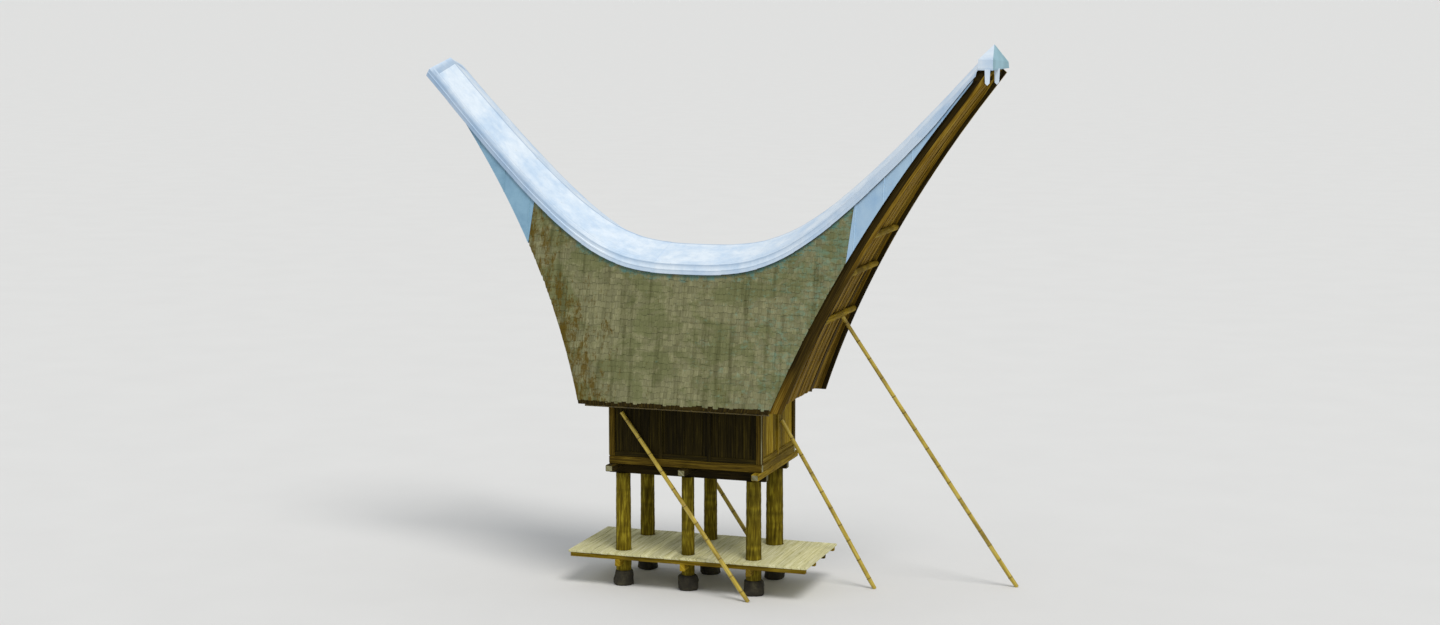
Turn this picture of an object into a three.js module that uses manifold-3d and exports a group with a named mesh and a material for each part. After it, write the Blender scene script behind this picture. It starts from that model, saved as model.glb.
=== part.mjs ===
// A raised timber granary house with a saddle roof, as built in the Toraja highlands.
// Millimetres, +Z up. X runs along the ridge. The pieces are drawn about the middle of the board walls.
// "near" is the long side at -Y, "far" the one at +Y; "left" is the gable at -X, "right" the one at +X.
import * as THREE from "three";
import { mergeVertices } from "three/addons/utils/BufferGeometryUtils.js";
import Module from "manifold-3d";

const wasm = await Module();
wasm.setup();

// Driving dimensions
const seat = 0.3; // gap left where one piece rests on another
const postSpacing = 1165; // along the ridge, centre to centre
const postShift = -70; // the posts stand a little left of the walls' middle
const postRowY = 600; // each row of posts from the middle
const postRadius = { foot: 148, head: 138 };
const postGirth = { // no two trunks are equally thick
  near: { left: 0.92, middle: 0.78, right: 0.92 },
  far: { left: 0.88, middle: 0.82, right: 1.05 },
};
const stoneHeight = 260;
const postTop = 1950;
const platformTop = 613;
const platformHalfLength = 2120;
const platformHalfWidth = 943;
const bodyHalfLength = 1350;
const bodyHalfWidth = 981;
const wallTop = 3550;
const eaveHeight = 3240;
const eaveHalfWidth = 1410;
const saddleHeight = 5835; // lowest point of the ridge
const ridgeSwing = { left: 2424, right: 2364 }; // its climb over each ridgeReach beyond the bend
const ridgeReach = 2079; // where the flat middle of the ridge bends up into a horn
const ridgeBend = 3.17; // how sudden that bend is
const capHalfWidth = 841;
const capTaper = 8.78; // how much narrower the cap is a metre out, growing with the square
const hoodStart = 4420; // from here to the tip the cap keeps its width
const capDrop = 242; // how far the ridge cap falls from its fold to its edge
const capFlap = 164; // how far the cap's turned-down edge hangs
const flapTaper = { from: 4080, rate: 0.19, least: 20 }; // towards the right tip the flap grows narrower
const capThickness = 30;
const roofThickness = 70;
const leftHornReach = 4690;
const claddingJoint = { left: 2720, right: 2860 }; // from here outwards the slopes are clad in metal

// Section sizes of the timbers
const bearer = { wide: 88, high: 118, top: 499, inset: 25 };
const joist = { wide: 80, rows: [-870, -290, 290, 870], inset: 30, notch: 6 };
const deckThickness = 40;
const beam = { wide: 130, high: 110, reach: 1150, along: 1400, lap: 45 };
const sill = { wide: 100, high: 130 };
const floorThickness = 30;
const wallThickness = 40;
const stud = { wide: 70, thick: 92, fromMiddle: 430 };
const cornerPost = 100;
const tie = { wide: 120, high: 120, reach: 1150 };
const plate = { wide: 90, high: 110, along: 1640 };
const ridgeBeam = { wide: 120, high: 150 };

const root = new THREE.Group();

// Materials, from the colours of the photograph
const finish = (color, roughness, metalness = 0) => (
  new THREE.MeshStandardMaterial({ color, roughness, metalness })
);
const palmWood = finish(0x6b5a2e, 0.85);
const darkWood = finish(0x3a2c14, 0.85);
const wallWood = finish(0x4a3818, 0.8);
const goldenWood = finish(0x8c7430, 0.75);
const bleachedWood = finish(0xc4bd9c, 0.8);
const shingle = finish(0x74705a, 0.9);
const zinc = finish(0xbcd0e8, 0.35, 0.8);
const bamboo = finish(0xb09a4c, 0.55);
const stone = finish(0x55524a, 0.95);

// Heights and outlines of the roof
const ridgeZ = (x) => {
  const bent = (1 + (Math.abs(x) / ridgeReach) ** ridgeBend) ** (1 / ridgeBend);
  return saddleHeight + (x < 0 ? ridgeSwing.left : ridgeSwing.right) * (bent - 1);
};
const slopeTopZ = (x) => ridgeZ(x) - capDrop - capThickness - seat;
const capHalf = (x) => capHalfWidth - capTaper * (Math.min(Math.abs(x), hoodStart) / 1000) ** 2;

// The roofing's edge at each end, and how far the bargeboards stand beyond it
const roofEdge = {
  left: (h) => 1732 + 295 * h + 44 * h * h,
  right: (h) => 1598 + 375 * h + 38.4 * h * h,
};
const boardReach = { left: -20, right: 200 };
const edgeX = (end, z, beyond = 0) => roofEdge[end]((z - eaveHeight) / 1000) + beyond;

// A point of the roof side: s is 0 at the eave and 1 under the ridge cap, depth is measured into the roof.
const slopePoint = (x, s, depth, side) => {
  const rise = slopeTopZ(x) - eaveHeight;
  const run = eaveHalfWidth - capHalf(x);
  const length = Math.hypot(rise, run);
  const y = eaveHalfWidth - run * s - (depth * rise) / length;
  const z = eaveHeight + rise * s - (depth * run) / length;
  return [x, side * y, z];
};

// Half the clear width between the roof sides at a point of the roof's inside.
const insideHalfWidth = (x, z, depth) => {
  const rise = slopeTopZ(x) - eaveHeight;
  const run = eaveHalfWidth - capHalf(x);
  const outer = eaveHalfWidth - (run * (z - eaveHeight)) / rise;
  return outer - (depth * Math.hypot(rise, run)) / rise;
};

// Stations along the ridge, shared by every roof piece so that neighbouring facets lie parallel
const stationStep = 340;
const stationCount = 15;
const stations = [];
for (let i = -stationCount; i <= stationCount; i += 1) stations.push(i * stationStep);

// Makes a geometry from corners and faces, with the faces pointing out.
function closedBody(corners, faces) {
  const at = (i) => new THREE.Vector3(...corners[i]);
  let volume = 0;
  for (const [a, b, c] of faces) volume += at(a).dot(at(b).cross(at(c)));
  const turned = volume < 0 ? faces.map(([a, b, c]) => [a, c, b]) : faces;
  const geometry = new THREE.BufferGeometry();
  geometry.setAttribute("position", new THREE.Float32BufferAttribute(corners.flat(), 3));
  geometry.setIndex(turned.flat());
  return geometry;
}

// A body from cross-sections that each lie in a plane of constant x.
function sweptBody(sections) {
  const flat = (ring) => ring.map(([, y, z]) => new THREE.Vector2(y, z));
  const clockwise = THREE.ShapeUtils.isClockWise(flat(sections[0]));
  const rings = clockwise ? sections.map((ring) => [...ring].reverse()) : sections;
  const sides = rings[0].length;
  const faces = [];
  for (let i = 0; i + 1 < rings.length; i += 1) {
    for (let j = 0; j < sides; j += 1) {
      const a = i * sides + j;
      const b = i * sides + ((j + 1) % sides);
      faces.push([a, b, b + sides], [a, b + sides, a + sides]);
    }
  }
  const last = (rings.length - 1) * sides;
  for (const [a, b, c] of THREE.ShapeUtils.triangulateShape(flat(rings[0]), [])) faces.push([c, b, a]);
  for (const [a, b, c] of THREE.ShapeUtils.triangulateShape(flat(rings.at(-1)), [])) {
    faces.push([last + a, last + b, last + c]);
  }
  return closedBody(rings.flat(), faces);
}

// One layer of a roof side from horn to horn, between two depths.
function roofLayer(side, outerDepth, innerDepth) {
  const rows = 8;
  const width = rows + 1;
  const skin = (depth) => stations.flatMap((x) => (
    Array.from({ length: width }, (_, i) => slopePoint(x, i / rows, depth, side))
  ));
  const corners = [...skin(outerDepth), ...skin(innerDepth)];
  const under = stations.length * width;
  const faces = [];
  const quad = (a, b, c, d) => faces.push([a, b, c], [a, c, d]);
  for (let j = 0; j + 1 < stations.length; j += 1) {
    for (let i = 0; i < rows; i += 1) {
      const a = j * width + i;
      const b = a + 1;
      const c = b + width;
      const d = a + width;
      quad(a, b, c, d);
      quad(under + a, under + d, under + c, under + b);
    }
    const [eave, nextEave] = [j * width, (j + 1) * width];
    quad(eave, nextEave, under + nextEave, under + eave);
    quad(eave + rows, under + eave + rows, under + nextEave + rows, nextEave + rows);
  }
  const end = (stations.length - 1) * width;
  for (let i = 0; i < rows; i += 1) {
    quad(i, under + i, under + i + 1, i + 1);
    quad(end + i, end + i + 1, under + end + i + 1, under + end + i);
  }
  return closedBody(corners, faces);
}

// A shape drawn in the XZ plane, deep enough to pass through the whole house unless told otherwise.
function prism(points, depth = 4000) {
  const geometry = new THREE.ExtrudeGeometry(
    new THREE.Shape(points.map(([x, z]) => new THREE.Vector2(x, z))), { depth, bevelEnabled: false },
  );
  return geometry.rotateX(Math.PI / 2).translate(0, depth / 2, 0);
}

// Points down a verge in the XZ plane, from above the horn tip to below the eave
const vergePoints = (end, way, beyond) => {
  const points = [];
  for (let z = 9600; z >= 3000; z -= 300) points.push([way * edgeX(end, z, beyond), z]);
  return points;
};

const block = (x0, x1, y0, y1, z0, z1) => {
  const box = new THREE.BoxGeometry(x1 - x0, y1 - y0, z1 - z0);
  return box.translate((x0 + x1) / 2, (y0 + y1) / 2, (z0 + z1) / 2);
};

// A round pole from one point to another.
const pole = (from, to, radiusFrom, radiusTo, sides) => {
  const start = new THREE.Vector3(...from);
  const along = new THREE.Vector3(...to).sub(start);
  const geometry = new THREE.CylinderGeometry(radiusTo, radiusFrom, along.length(), sides);
  geometry.translate(0, along.length() / 2, 0);
  const turn = new THREE.Quaternion().setFromUnitVectors(new THREE.Vector3(0, 1, 0), along.normalize());
  return geometry.applyQuaternion(turn).translate(...from);
};

// Booleans
function toSolid(geometry) {
  const bare = geometry.clone();
  for (const name of ["normal", "uv"]) bare.deleteAttribute(name);
  const merged = mergeVertices(bare, 1e-3);
  const mesh = new wasm.Mesh({
    numProp: 3,
    vertProperties: new Float32Array(merged.attributes.position.array),
    triVerts: new Uint32Array(merged.index.array),
  });
  return new wasm.Manifold(mesh);
}

function toGeometry(solid) {
  const mesh = solid.getMesh();
  const geometry = new THREE.BufferGeometry();
  geometry.setAttribute("position", new THREE.Float32BufferAttribute(Array.from(mesh.vertProperties), 3));
  geometry.setIndex(Array.from(mesh.triVerts));
  return geometry;
}

const joined = (parts) => toGeometry(parts.map(toSolid).reduce((a, b) => a.add(b)));
const common = (a, b) => toGeometry(toSolid(a).intersect(toSolid(b)));
const cut = (body, tools) => toGeometry(tools.map(toSolid).reduce((a, b) => a.subtract(b), toSolid(body)));

const add = (name, geometry, material) => {
  const mesh = new THREE.Mesh(geometry, material);
  mesh.name = name;
  root.add(mesh);
};

const sides = [["near", -1], ["far", 1]];
const ends = [["left", -1], ["right", 1]];
const crossings = [["left", -1], ["middle", 0], ["right", 1]];
const postColumns = crossings.map(([name, way]) => [name, postShift + way * postSpacing]);

// Stones and posts
const postSides = 16;
const stoneRadius = { foot: 215, head: 185 };
function buildPosts() {
  for (const [column, x] of postColumns) {
    for (const [row, side] of sides) {
      const y = side * postRowY;
      const boulder = pole([x, y, 0], [x, y, stoneHeight - seat], stoneRadius.foot, stoneRadius.head, 10);
      add(`base_stone_${row}_${column}`, boulder, stone);
      const girth = postGirth[row][column];
      const trunk = pole(
        [x, y, stoneHeight], [x, y, postTop], girth * postRadius.foot, girth * postRadius.head, postSides,
      );
      const mortise = block(
        x - bearer.wide / 2 - seat, x + bearer.wide / 2 + seat, y - 200, y + 200,
        bearer.top - bearer.high - seat, bearer.top + seat,
      );
      add(`post_${row}_${column}`, cut(trunk, [mortise]), palmWood);
    }
  }
}

// Sitting platform: three bearers through the posts carry four joists and the deck
function buildPlatform() {
  const deckUnder = platformTop - deckThickness;
  const frame = [];
  for (const [, x] of postColumns) {
    frame.push(block(
      x - bearer.wide / 2, x + bearer.wide / 2,
      bearer.inset - platformHalfWidth, platformHalfWidth - bearer.inset,
      bearer.top - bearer.high, bearer.top,
    ));
  }
  for (const y of joist.rows) {
    frame.push(block(
      joist.inset - platformHalfLength, platformHalfLength - joist.inset,
      y - joist.wide / 2, y + joist.wide / 2,
      bearer.top - joist.notch, deckUnder - seat,
    ));
  }
  add("platform_frame", joined(frame), darkWood);
  const holes = [];
  for (const [column, x] of postColumns) {
    for (const [row, side] of sides) {
      const y = side * postRowY;
      const holeRadius = postGirth[row][column] * postRadius.foot + 4;
      holes.push(pole([x, y, deckUnder - 50], [x, y, platformTop + 50], holeRadius, holeRadius, postSides));
    }
  }
  const deck = block(
    -platformHalfLength, platformHalfLength,
    -platformHalfWidth, platformHalfWidth, deckUnder, platformTop,
  );
  add("platform_deck", cut(deck, holes), bleachedWood);
}

// Beams on the posts, the floor and the sills
const floorBeamTop = postTop + 2 * beam.high;
const floorBeamX = (way) => way * (bodyHalfLength - beam.wide / 2);
function buildFloor() {
  // each post beam is notched for the three floor beams that lie across it
  for (const [row, side] of sides) {
    const y = side * postRowY;
    const notches = crossings.map(([, way]) => block(
      floorBeamX(way) - beam.wide / 2 - seat, floorBeamX(way) + beam.wide / 2 + seat, -beam.reach, beam.reach,
      postTop + beam.high, floorBeamTop,
    ));
    const timber = block(
      postShift - beam.along, postShift + beam.along, y - beam.wide / 2, y + beam.wide / 2,
      postTop + seat, postTop + beam.high + beam.lap,
    );
    add(`${row}_post_beam`, cut(timber, notches), darkWood);
  }
  for (const [column, way] of crossings) {
    const x = floorBeamX(way);
    add(`floor_beam_${column}`, block(
      x - beam.wide / 2, x + beam.wide / 2, -beam.reach, beam.reach,
      postTop + beam.high + seat, floorBeamTop,
    ), column === "right" ? goldenWood : darkWood);
  }
  const innerX = bodyHalfLength - sill.wide;
  const innerY = bodyHalfWidth - sill.wide;
  add("granary_floor", block(
    -innerX + seat, innerX - seat, -innerY + seat, innerY - seat,
    floorBeamTop + seat, floorBeamTop + floorThickness,
  ), wallWood);
  const sillTop = floorBeamTop + sill.high;
  const ring = block(
    -bodyHalfLength, bodyHalfLength, -bodyHalfWidth, bodyHalfWidth, floorBeamTop + seat, sillTop,
  );
  const hollow = block(-innerX, innerX, -innerY, innerY, floorBeamTop - 50, sillTop + 50);
  add("sill_frame", cut(ring, [hollow]), darkWood);
}

// Walls: boards with studs, and the corner posts with the end walls
function buildWalls() {
  const bottom = floorBeamTop + sill.high + seat;
  const cornerInner = bodyHalfLength - cornerPost;
  const middleY = bodyHalfWidth - cornerPost / 2;
  for (const [row, side] of sides) {
    const span = cornerInner - seat;
    const boards = block(
      -span, span, side * middleY - wallThickness / 2, side * middleY + wallThickness / 2, bottom, wallTop,
    );
    const studs = [-stud.fromMiddle, stud.fromMiddle].map((x) => block(
      x - stud.wide / 2, x + stud.wide / 2,
      side * middleY - stud.thick / 2, side * middleY + stud.thick / 2, bottom, wallTop,
    ));
    add(`${row}_wall`, joined([boards, ...studs]), wallWood);
  }
  const middleX = bodyHalfLength - cornerPost / 2;
  for (const [end, side] of ends) {
    const x = side * middleX;
    const boards = block(
      x - wallThickness / 2, x + wallThickness / 2, -middleY, middleY, bottom, wallTop,
    );
    const corners = sides.map(([, way]) => block(
      x - cornerPost / 2, x + cornerPost / 2, way * middleY - cornerPost / 2, way * middleY + cornerPost / 2,
      bottom, wallTop,
    ));
    const middle = block(
      x - stud.thick / 2, x + stud.thick / 2, -stud.wide / 2, stud.wide / 2, bottom, wallTop,
    );
    add(`${end}_end_wall`, joined([boards, ...corners, middle]), goldenWood);
  }
}

// The hood at the tip of the right-hand horn
const hood = {
  back: 4820, front: 5090, halfWidth: 640, base: 8830, eaves: 9000, peakX: 4945, peakZ: 9229, thickness: 20,
};

// Roofing: shingles over the house, metal over the horns
const boardWidth = 330;
const boardDepth = { outer: roofThickness + seat, inner: roofThickness + 48 };
const span = (x0, x1) => block(x0, x1, -2000, 2000, 2500, 10500);
function buildRoofing() {
  const outline = prism([...vergePoints("right", 1, 0), ...vergePoints("left", -1, 0).reverse()]);
  const shingled = span(seat / 2 - claddingJoint.left, claddingJoint.right - seat / 2);
  const leftClad = span(30 - leftHornReach, -claddingJoint.left - seat / 2);
  const rightClad = span(claddingJoint.right + seat / 2, hood.back - 30);
  for (const [row, side] of sides) {
    const whole = common(roofLayer(side, 0, roofThickness), outline);
    add(`${row}_shingle_slope`, common(whole, shingled), shingle);
    add(`${row}_left_horn_cladding`, common(whole, leftClad), zinc);
    add(`${row}_right_horn_cladding`, common(whole, rightClad), zinc);
  }
}

// Bargeboards lie under the edge of the roofing. The right ones stand out beyond it, up to the hood.
const bargeboard = (side, end, way, outerDepth, innerDepth) => {
  const outerLine = vergePoints(end, way, boardReach[end]);
  const innerLine = vergePoints(end, way, boardReach[end] - boardWidth).reverse();
  const board = common(roofLayer(side, outerDepth, innerDepth), prism([...outerLine, ...innerLine]));
  const underHood = block(hood.back - 100, hood.front + 200, -2000, 2000, hood.base - seat, 10500);
  return common(cut(board, [underHood]), span(-leftHornReach, hood.front - 60));
};

// The leaning panel between the bargeboards, with its cross beams and the ledge back to the end wall
const panel = { back: 110, thickness: 36, foot: 3300, head: { left: 7560, right: 8640 } };
const ledgeThickness = 30;
const crossBeam = { radius: 55, forward: 40, heights: [4720, 5520, 6150] };
const panelX = (end, z) => edgeX(end, z, boardReach[end] - panel.back);
const crossBeamX = (end, z) => panelX(end, z) + crossBeam.forward;
function gablePanel(end, way, hollows) {
  const front = [];
  const steps = 14;
  for (let i = 0; i <= steps; i += 1) {
    const z = panel.foot + ((panel.head[end] - panel.foot) * i) / steps;
    front.push([panelX(end, z), z]);
  }
  const back = front.map(([x, z]) => [x - panel.thickness, z + 12]).reverse();
  back.pop();
  const wallFace = bodyHalfLength + seat;
  const ledge = [
    [panelX(end, panel.foot) - panel.thickness, panel.foot + ledgeThickness],
    [wallFace, panel.foot + ledgeThickness], [wallFace, panel.foot],
  ];
  const points = [...front, ...back, ...ledge].map(([x, z]) => [way * x, z]);
  const poles = crossBeam.heights.map((z) => {
    const x = way * crossBeamX(end, z);
    return pole([x, -1300, z], [x, 1300, z], crossBeam.radius, crossBeam.radius, 10);
  });
  return cut(joined([prism(points, 2600), ...poles]), hollows);
}

function buildVerges() {
  for (const [end, way] of ends) {
    for (const [row, side] of sides) {
      const board = bargeboard(side, end, way, boardDepth.outer, boardDepth.inner);
      add(`${row}_${end}_bargeboard`, board, darkWood);
    }
    const hollows = sides.map(([, side]) => roofLayer(side, -1800, boardDepth.inner + seat));
    add(`${end}_gable_panel`, gablePanel(end, way, [...hollows, ridgeTimber(seat)]), goldenWood);
  }
}

// Tie beams on the walls carry the roof plates; the ridge beam runs from horn to horn
const tieTop = wallTop + tie.high;
const plateTop = tieTop + plate.high;
function buildRoofFrame() {
  const frame = [];
  for (const [, way] of crossings) {
    const x = way * (bodyHalfLength - cornerPost / 2);
    frame.push(block(x - tie.wide / 2, x + tie.wide / 2, -tie.reach, tie.reach, wallTop + seat, tieTop));
  }
  const plateOuter = insideHalfWidth(0, plateTop, roofThickness) - seat;
  for (const [, side] of sides) {
    const a = side * plateOuter;
    const b = side * (plateOuter - plate.wide);
    const [low, high] = [Math.min(a, b), Math.max(a, b)];
    frame.push(block(-plate.along, plate.along, low, high, tieTop - joist.notch, plateTop));
  }
  const boards = ends.flatMap(([end, way]) => (
    sides.map(([, side]) => bargeboard(side, end, way, -400, boardDepth.inner + seat))
  ));
  add("roof_plate_frame", cut(joined(frame), boards), darkWood);
  const inset = 260;
  const run = block(inset - leftHornReach, hood.back - inset, -200, 200, 5000, 10500);
  add("ridge_beam", common(ridgeTimber(0), run), darkWood);
}

// The ridge beam from end to end of the stations, grown all round by a clearance.
function ridgeTimber(clearance) {
  const half = ridgeBeam.wide / 2 + clearance;
  return sweptBody(stations.map((x) => {
    const top = ridgeZ(x) - capThickness - seat + clearance;
    const foot = top - ridgeBeam.high - 2 * clearance;
    const shoulder = (half * capDrop) / capHalf(x) + 2;
    const edge = top - shoulder;
    return [[x, 0, top], [x, half, edge], [x, half, foot], [x, -half, foot], [x, -half, edge]];
  }));
}

// The folded metal cap along the ridge: its section at x, grown all round by a clearance
function capRing(x, clearance) {
  const apex = ridgeZ(x) + clearance;
  const thick = capThickness + 2 * clearance;
  const lean = (eaveHalfWidth - capHalf(x)) / (slopeTopZ(x) - eaveHeight);
  const fall = capDrop / capHalf(x);
  const edge = capHalf(x) + capThickness + 4 + clearance;
  const inner = edge - thick;
  const narrowed = capFlap - flapTaper.rate * Math.max(0, x - flapTaper.from);
  const flap = Math.max(narrowed, thick + flapTaper.least);
  const half = [
    [edge, apex - fall * edge],
    [edge + lean * flap, apex - fall * edge - flap],
    [inner + lean * flap, apex - fall * edge - flap],
    [inner, apex - fall * inner - thick],
  ];
  const far = half.map(([y, z]) => [x, y, z]);
  const near = [...half].reverse().map(([y, z]) => [x, -y, z]);
  return [[x, 0, apex], ...far, [x, 0, apex - thick], ...near];
}

// The left end of the cap leans back from its lower corners. The right end stops just inside the hood.
const capEnd = { left: { edge: leftHornReach, slant: 0.45 }, right: { edge: 4815, slant: -0.2 } };
const capEndLine = (end, way) => {
  const { edge, slant } = capEnd[end];
  const foot = ridgeZ(way * edge) - capDrop;
  return [[way * (edge + slant * 4500), foot - 4500], [way * (edge - slant * 1000), foot + 1000]];
};
function buildRidgeCap() {
  const [rightLow, rightHigh] = capEndLine("right", 1);
  const [leftLow, leftHigh] = capEndLine("left", -1);
  const trim = prism([rightLow, rightHigh, leftHigh, leftLow]);
  add("ridge_cap", common(sweptBody(stations.map((x) => capRing(x, 0))), trim), zinc);
}

// A body with upright walls under four hips that meet in one point.
function hippedBody(back, front, halfWidth, base, eaves, peakX, peakZ) {
  const level = (z) => [
    [back, -halfWidth, z], [front, -halfWidth, z], [front, halfWidth, z], [back, halfWidth, z],
  ];
  const corners = [...level(base), ...level(eaves), [peakX, 0, peakZ]];
  const faces = [[0, 2, 1], [0, 3, 2]];
  for (let i = 0; i < 4; i += 1) {
    const next = (i + 1) % 4;
    faces.push([i, next, next + 4], [i, next + 4, i + 4], [i + 4, next + 4, 8]);
  }
  return closedBody(corners, faces);
}

// The hipped metal hood over the tip of the right-hand horn, open below and slipped over the end of the cap
function buildHood() {
  const { back, front, halfWidth, base, eaves, peakX, peakZ, thickness } = hood;
  const outside = hippedBody(back, front, halfWidth, base, eaves, peakX, peakZ);
  const inside = hippedBody(
    back + thickness, front - thickness, halfWidth - thickness,
    base - 100, eaves - 15, peakX, peakZ - 2 * thickness,
  );
  const entry = common(
    sweptBody(stations.map((x) => capRing(x, seat).filter((corner, i) => i < 3 || i > 7))),
    block(back - 300, peakX - 50, -2000, 2000, 5000, 10500),
  );
  add("right_horn_hood", cut(outside, [inside, entry]), zinc);
}

// Bamboo props that steady the house
function buildProps() {
  const headRadius = 34;
  const wallFace = bodyHalfWidth - cornerPost / 2 + wallThickness / 2;
  const endFace = bodyHalfLength - cornerPost / 2 + wallThickness / 2;
  const gableHeight = crossBeam.heights[0];
  const props = {
    prop_near_side: [[1160, -1115, 0], [-1115, -wallFace - headRadius - seat, 3060]],
    prop_far_side: [[860, 1115, 0], [-1115, wallFace + headRadius + seat, 3060]],
    prop_end_wall: [[2930, 420, 0], [endFace + 0.86 * headRadius + seat, 160, 2870]],
    prop_gable: [
      [5200, 1300, 0],
      [crossBeamX("right", gableHeight) - 29, 400, gableHeight - crossBeam.radius - 18],
    ],
  };
  const ground = block(-6000, 6000, -3000, 3000, -400, 0);
  for (const [name, [foot, head]] of Object.entries(props)) {
    const start = new THREE.Vector3(...foot).lerp(new THREE.Vector3(...head), -0.03).toArray();
    add(name, cut(pole(start, head, 40, headRadius, 10), [ground]), bamboo);
  }
}

buildPosts();
buildPlatform();
buildFloor();
buildWalls();
buildRoofFrame();
buildRoofing();
buildVerges();
buildRidgeCap();
buildHood();
buildProps();

// The origin is on the ground under the middle of everything that stands there
const reach = new THREE.Box3().setFromObject(root);
root.position.set(-(reach.min.x + reach.max.x) / 2, -(reach.min.y + reach.max.y) / 2, 0);

export default root;
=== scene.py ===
import math
import random

import bpy
import numpy as np
from mathutils import Matrix, Vector, noise

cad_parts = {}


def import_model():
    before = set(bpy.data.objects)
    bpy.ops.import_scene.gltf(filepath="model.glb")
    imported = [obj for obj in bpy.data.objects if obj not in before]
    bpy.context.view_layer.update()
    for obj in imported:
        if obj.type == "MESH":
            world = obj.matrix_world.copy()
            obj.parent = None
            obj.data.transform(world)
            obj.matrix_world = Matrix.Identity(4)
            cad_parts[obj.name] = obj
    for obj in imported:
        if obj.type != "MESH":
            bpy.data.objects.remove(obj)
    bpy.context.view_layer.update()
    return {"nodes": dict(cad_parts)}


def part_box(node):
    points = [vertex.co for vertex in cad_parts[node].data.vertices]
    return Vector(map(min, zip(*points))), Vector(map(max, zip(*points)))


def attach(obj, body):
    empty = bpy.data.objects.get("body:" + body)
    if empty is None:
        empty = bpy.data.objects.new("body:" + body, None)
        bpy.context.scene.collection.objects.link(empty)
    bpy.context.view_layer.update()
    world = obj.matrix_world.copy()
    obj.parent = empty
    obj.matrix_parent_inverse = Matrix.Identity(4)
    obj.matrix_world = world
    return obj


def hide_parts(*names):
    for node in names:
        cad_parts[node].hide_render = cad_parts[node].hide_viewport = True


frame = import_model()

# Roof sizes in metres. Along the ridge they count from the middle of the board walls. A verge stands
# base + lean * h + curve * h * h out, h above the eave; a tip is its place at the cap's edge and its slant.
roof = {
    "eave": 3.24, "eaveHalf": 1.41, "saddle": 5.835, "swing": {"left": 2.424, "right": 2.364},
    "reach": 2.079, "bend": 3.17, "capHalf": 0.841, "capTaper": 0.00878, "evenFrom": 4.42,
    "capDrop": 0.242, "capThick": 0.03, "thick": 0.07,
    "joint": {"left": 2.72, "right": 2.86}, "jointLean": {"left": -0.09, "right": 0.1}, "jointTop": 6.75,
    "tip": {"left": (4.687, 0.45), "right": (4.815, -0.2)},
    "verge": {"left": (1.732, 0.295, 0.044), "right": (1.598, 0.375, 0.0384)},
    "board": {"left": -0.02, "right": 0.20},
}
postShift = -0.07
postLow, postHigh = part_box("post_near_middle")
middleX = (postLow.x + postHigh.x) / 2 - postShift
sideOf = {"near": -1, "far": 1}
wayOf = {"left": -1, "right": 1}
columns = ("left", "middle", "right")


# Heights and outlines of the roof
def ridgeAt(u):
    bent = (1 + (np.abs(u) / roof["reach"]) ** roof["bend"]) ** (1 / roof["bend"])
    swing = np.where(np.less(u, 0), roof["swing"]["left"], roof["swing"]["right"])
    return roof["saddle"] + swing * (bent - 1)


def capHalfAt(u):
    return roof["capHalf"] - roof["capTaper"] * np.minimum(np.abs(u), roof["evenFrom"]) ** 2


def slopeTopAt(u):
    return ridgeAt(u) - roof["capDrop"] - roof["capThick"]


def heightAt(u, s):
    return roof["eave"] + (slopeTopAt(u) - roof["eave"]) * s


def vergeAt(end, z, beyond=0.0):
    base, lean, curve = roof["verge"][end]
    h = z - roof["eave"]
    return base + lean * h + curve * h * h + beyond


# Where the shingles end and the zinc of a horn begins, slanting a little
def jointAt(end, z):
    return roof["joint"][end] + roof["jointLean"][end] * (np.minimum(z, roof["jointTop"]) - roof["jointTop"])


def jointOnRow(end, s):
    u = roof["joint"][end]
    for _ in range(5):
        u = float(jointAt(end, heightAt(wayOf[end] * u, s)))
    return u


# How far from the middle a roof side lies at height z, depth being measured square to its face
def slopeY(u, z, depth):
    rise = slopeTopAt(u) - roof["eave"]
    run = roof["eaveHalf"] - capHalfAt(u)
    outer = roof["eaveHalf"] - run * (z - roof["eave"]) / rise
    return outer - depth * np.hypot(rise, run) / rise


# The place between two values up to which the test is true
def settleOn(low, high, test):
    for _ in range(40):
        middle = (low + high) / 2
        low, high = (middle, high) if test(middle) else (low, middle)
    return low


# Where the verge crosses the row at share s of the slope, as a distance from the middle
def edgeOnRow(end, s, limit, beyond=0.0):
    return settleOn(0.0, limit, lambda u: vergeAt(end, heightAt(wayOf[end] * u, s), beyond) > u)


# Adding, selecting and finishing
def added(operator, **options):
    operator(**options)
    return bpy.context.object


def setMode(mode):
    bpy.ops.object.mode_set(mode=mode)


def activate(thing):
    bpy.ops.object.select_all(action="DESELECT")
    thing.select_set(True)
    bpy.context.view_layer.objects.active = thing


def editAll(thing):
    activate(thing)
    setMode("EDIT")
    bpy.ops.mesh.select_all(action="SELECT")


def editFaces(thing, test, operator, **options):
    for face in thing.data.polygons:
        face.select = test(face)
    setMode("EDIT")
    operator(**options)
    setMode("OBJECT")


def applyModifiers(thing):
    activate(thing)
    for modifier in list(thing.modifiers):
        bpy.ops.object.modifier_apply(modifier=modifier.name)


def settle(thing):
    activate(thing)
    bpy.ops.object.transform_apply(location=True, rotation=True, scale=True)


def faceOut(thing):
    editAll(thing)
    bpy.ops.mesh.normals_make_consistent(inside=False)
    setMode("OBJECT")


def smooth(thing, degrees):
    activate(thing)
    bpy.ops.object.shade_smooth_by_angle(angle=math.radians(degrees))


def thicken(thing, thickness):
    solid = thing.modifiers.new("thickness", "SOLIDIFY")
    solid.thickness = thickness
    solid.offset = -1
    applyModifiers(thing)


def addBlock(low, high, grow=0.0):
    block = added(bpy.ops.mesh.primitive_cube_add, size=1)
    block.scale = (high - low + grow).tolist()
    block.location = ((low + high) / 2).tolist()
    settle(block)
    return block


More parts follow.
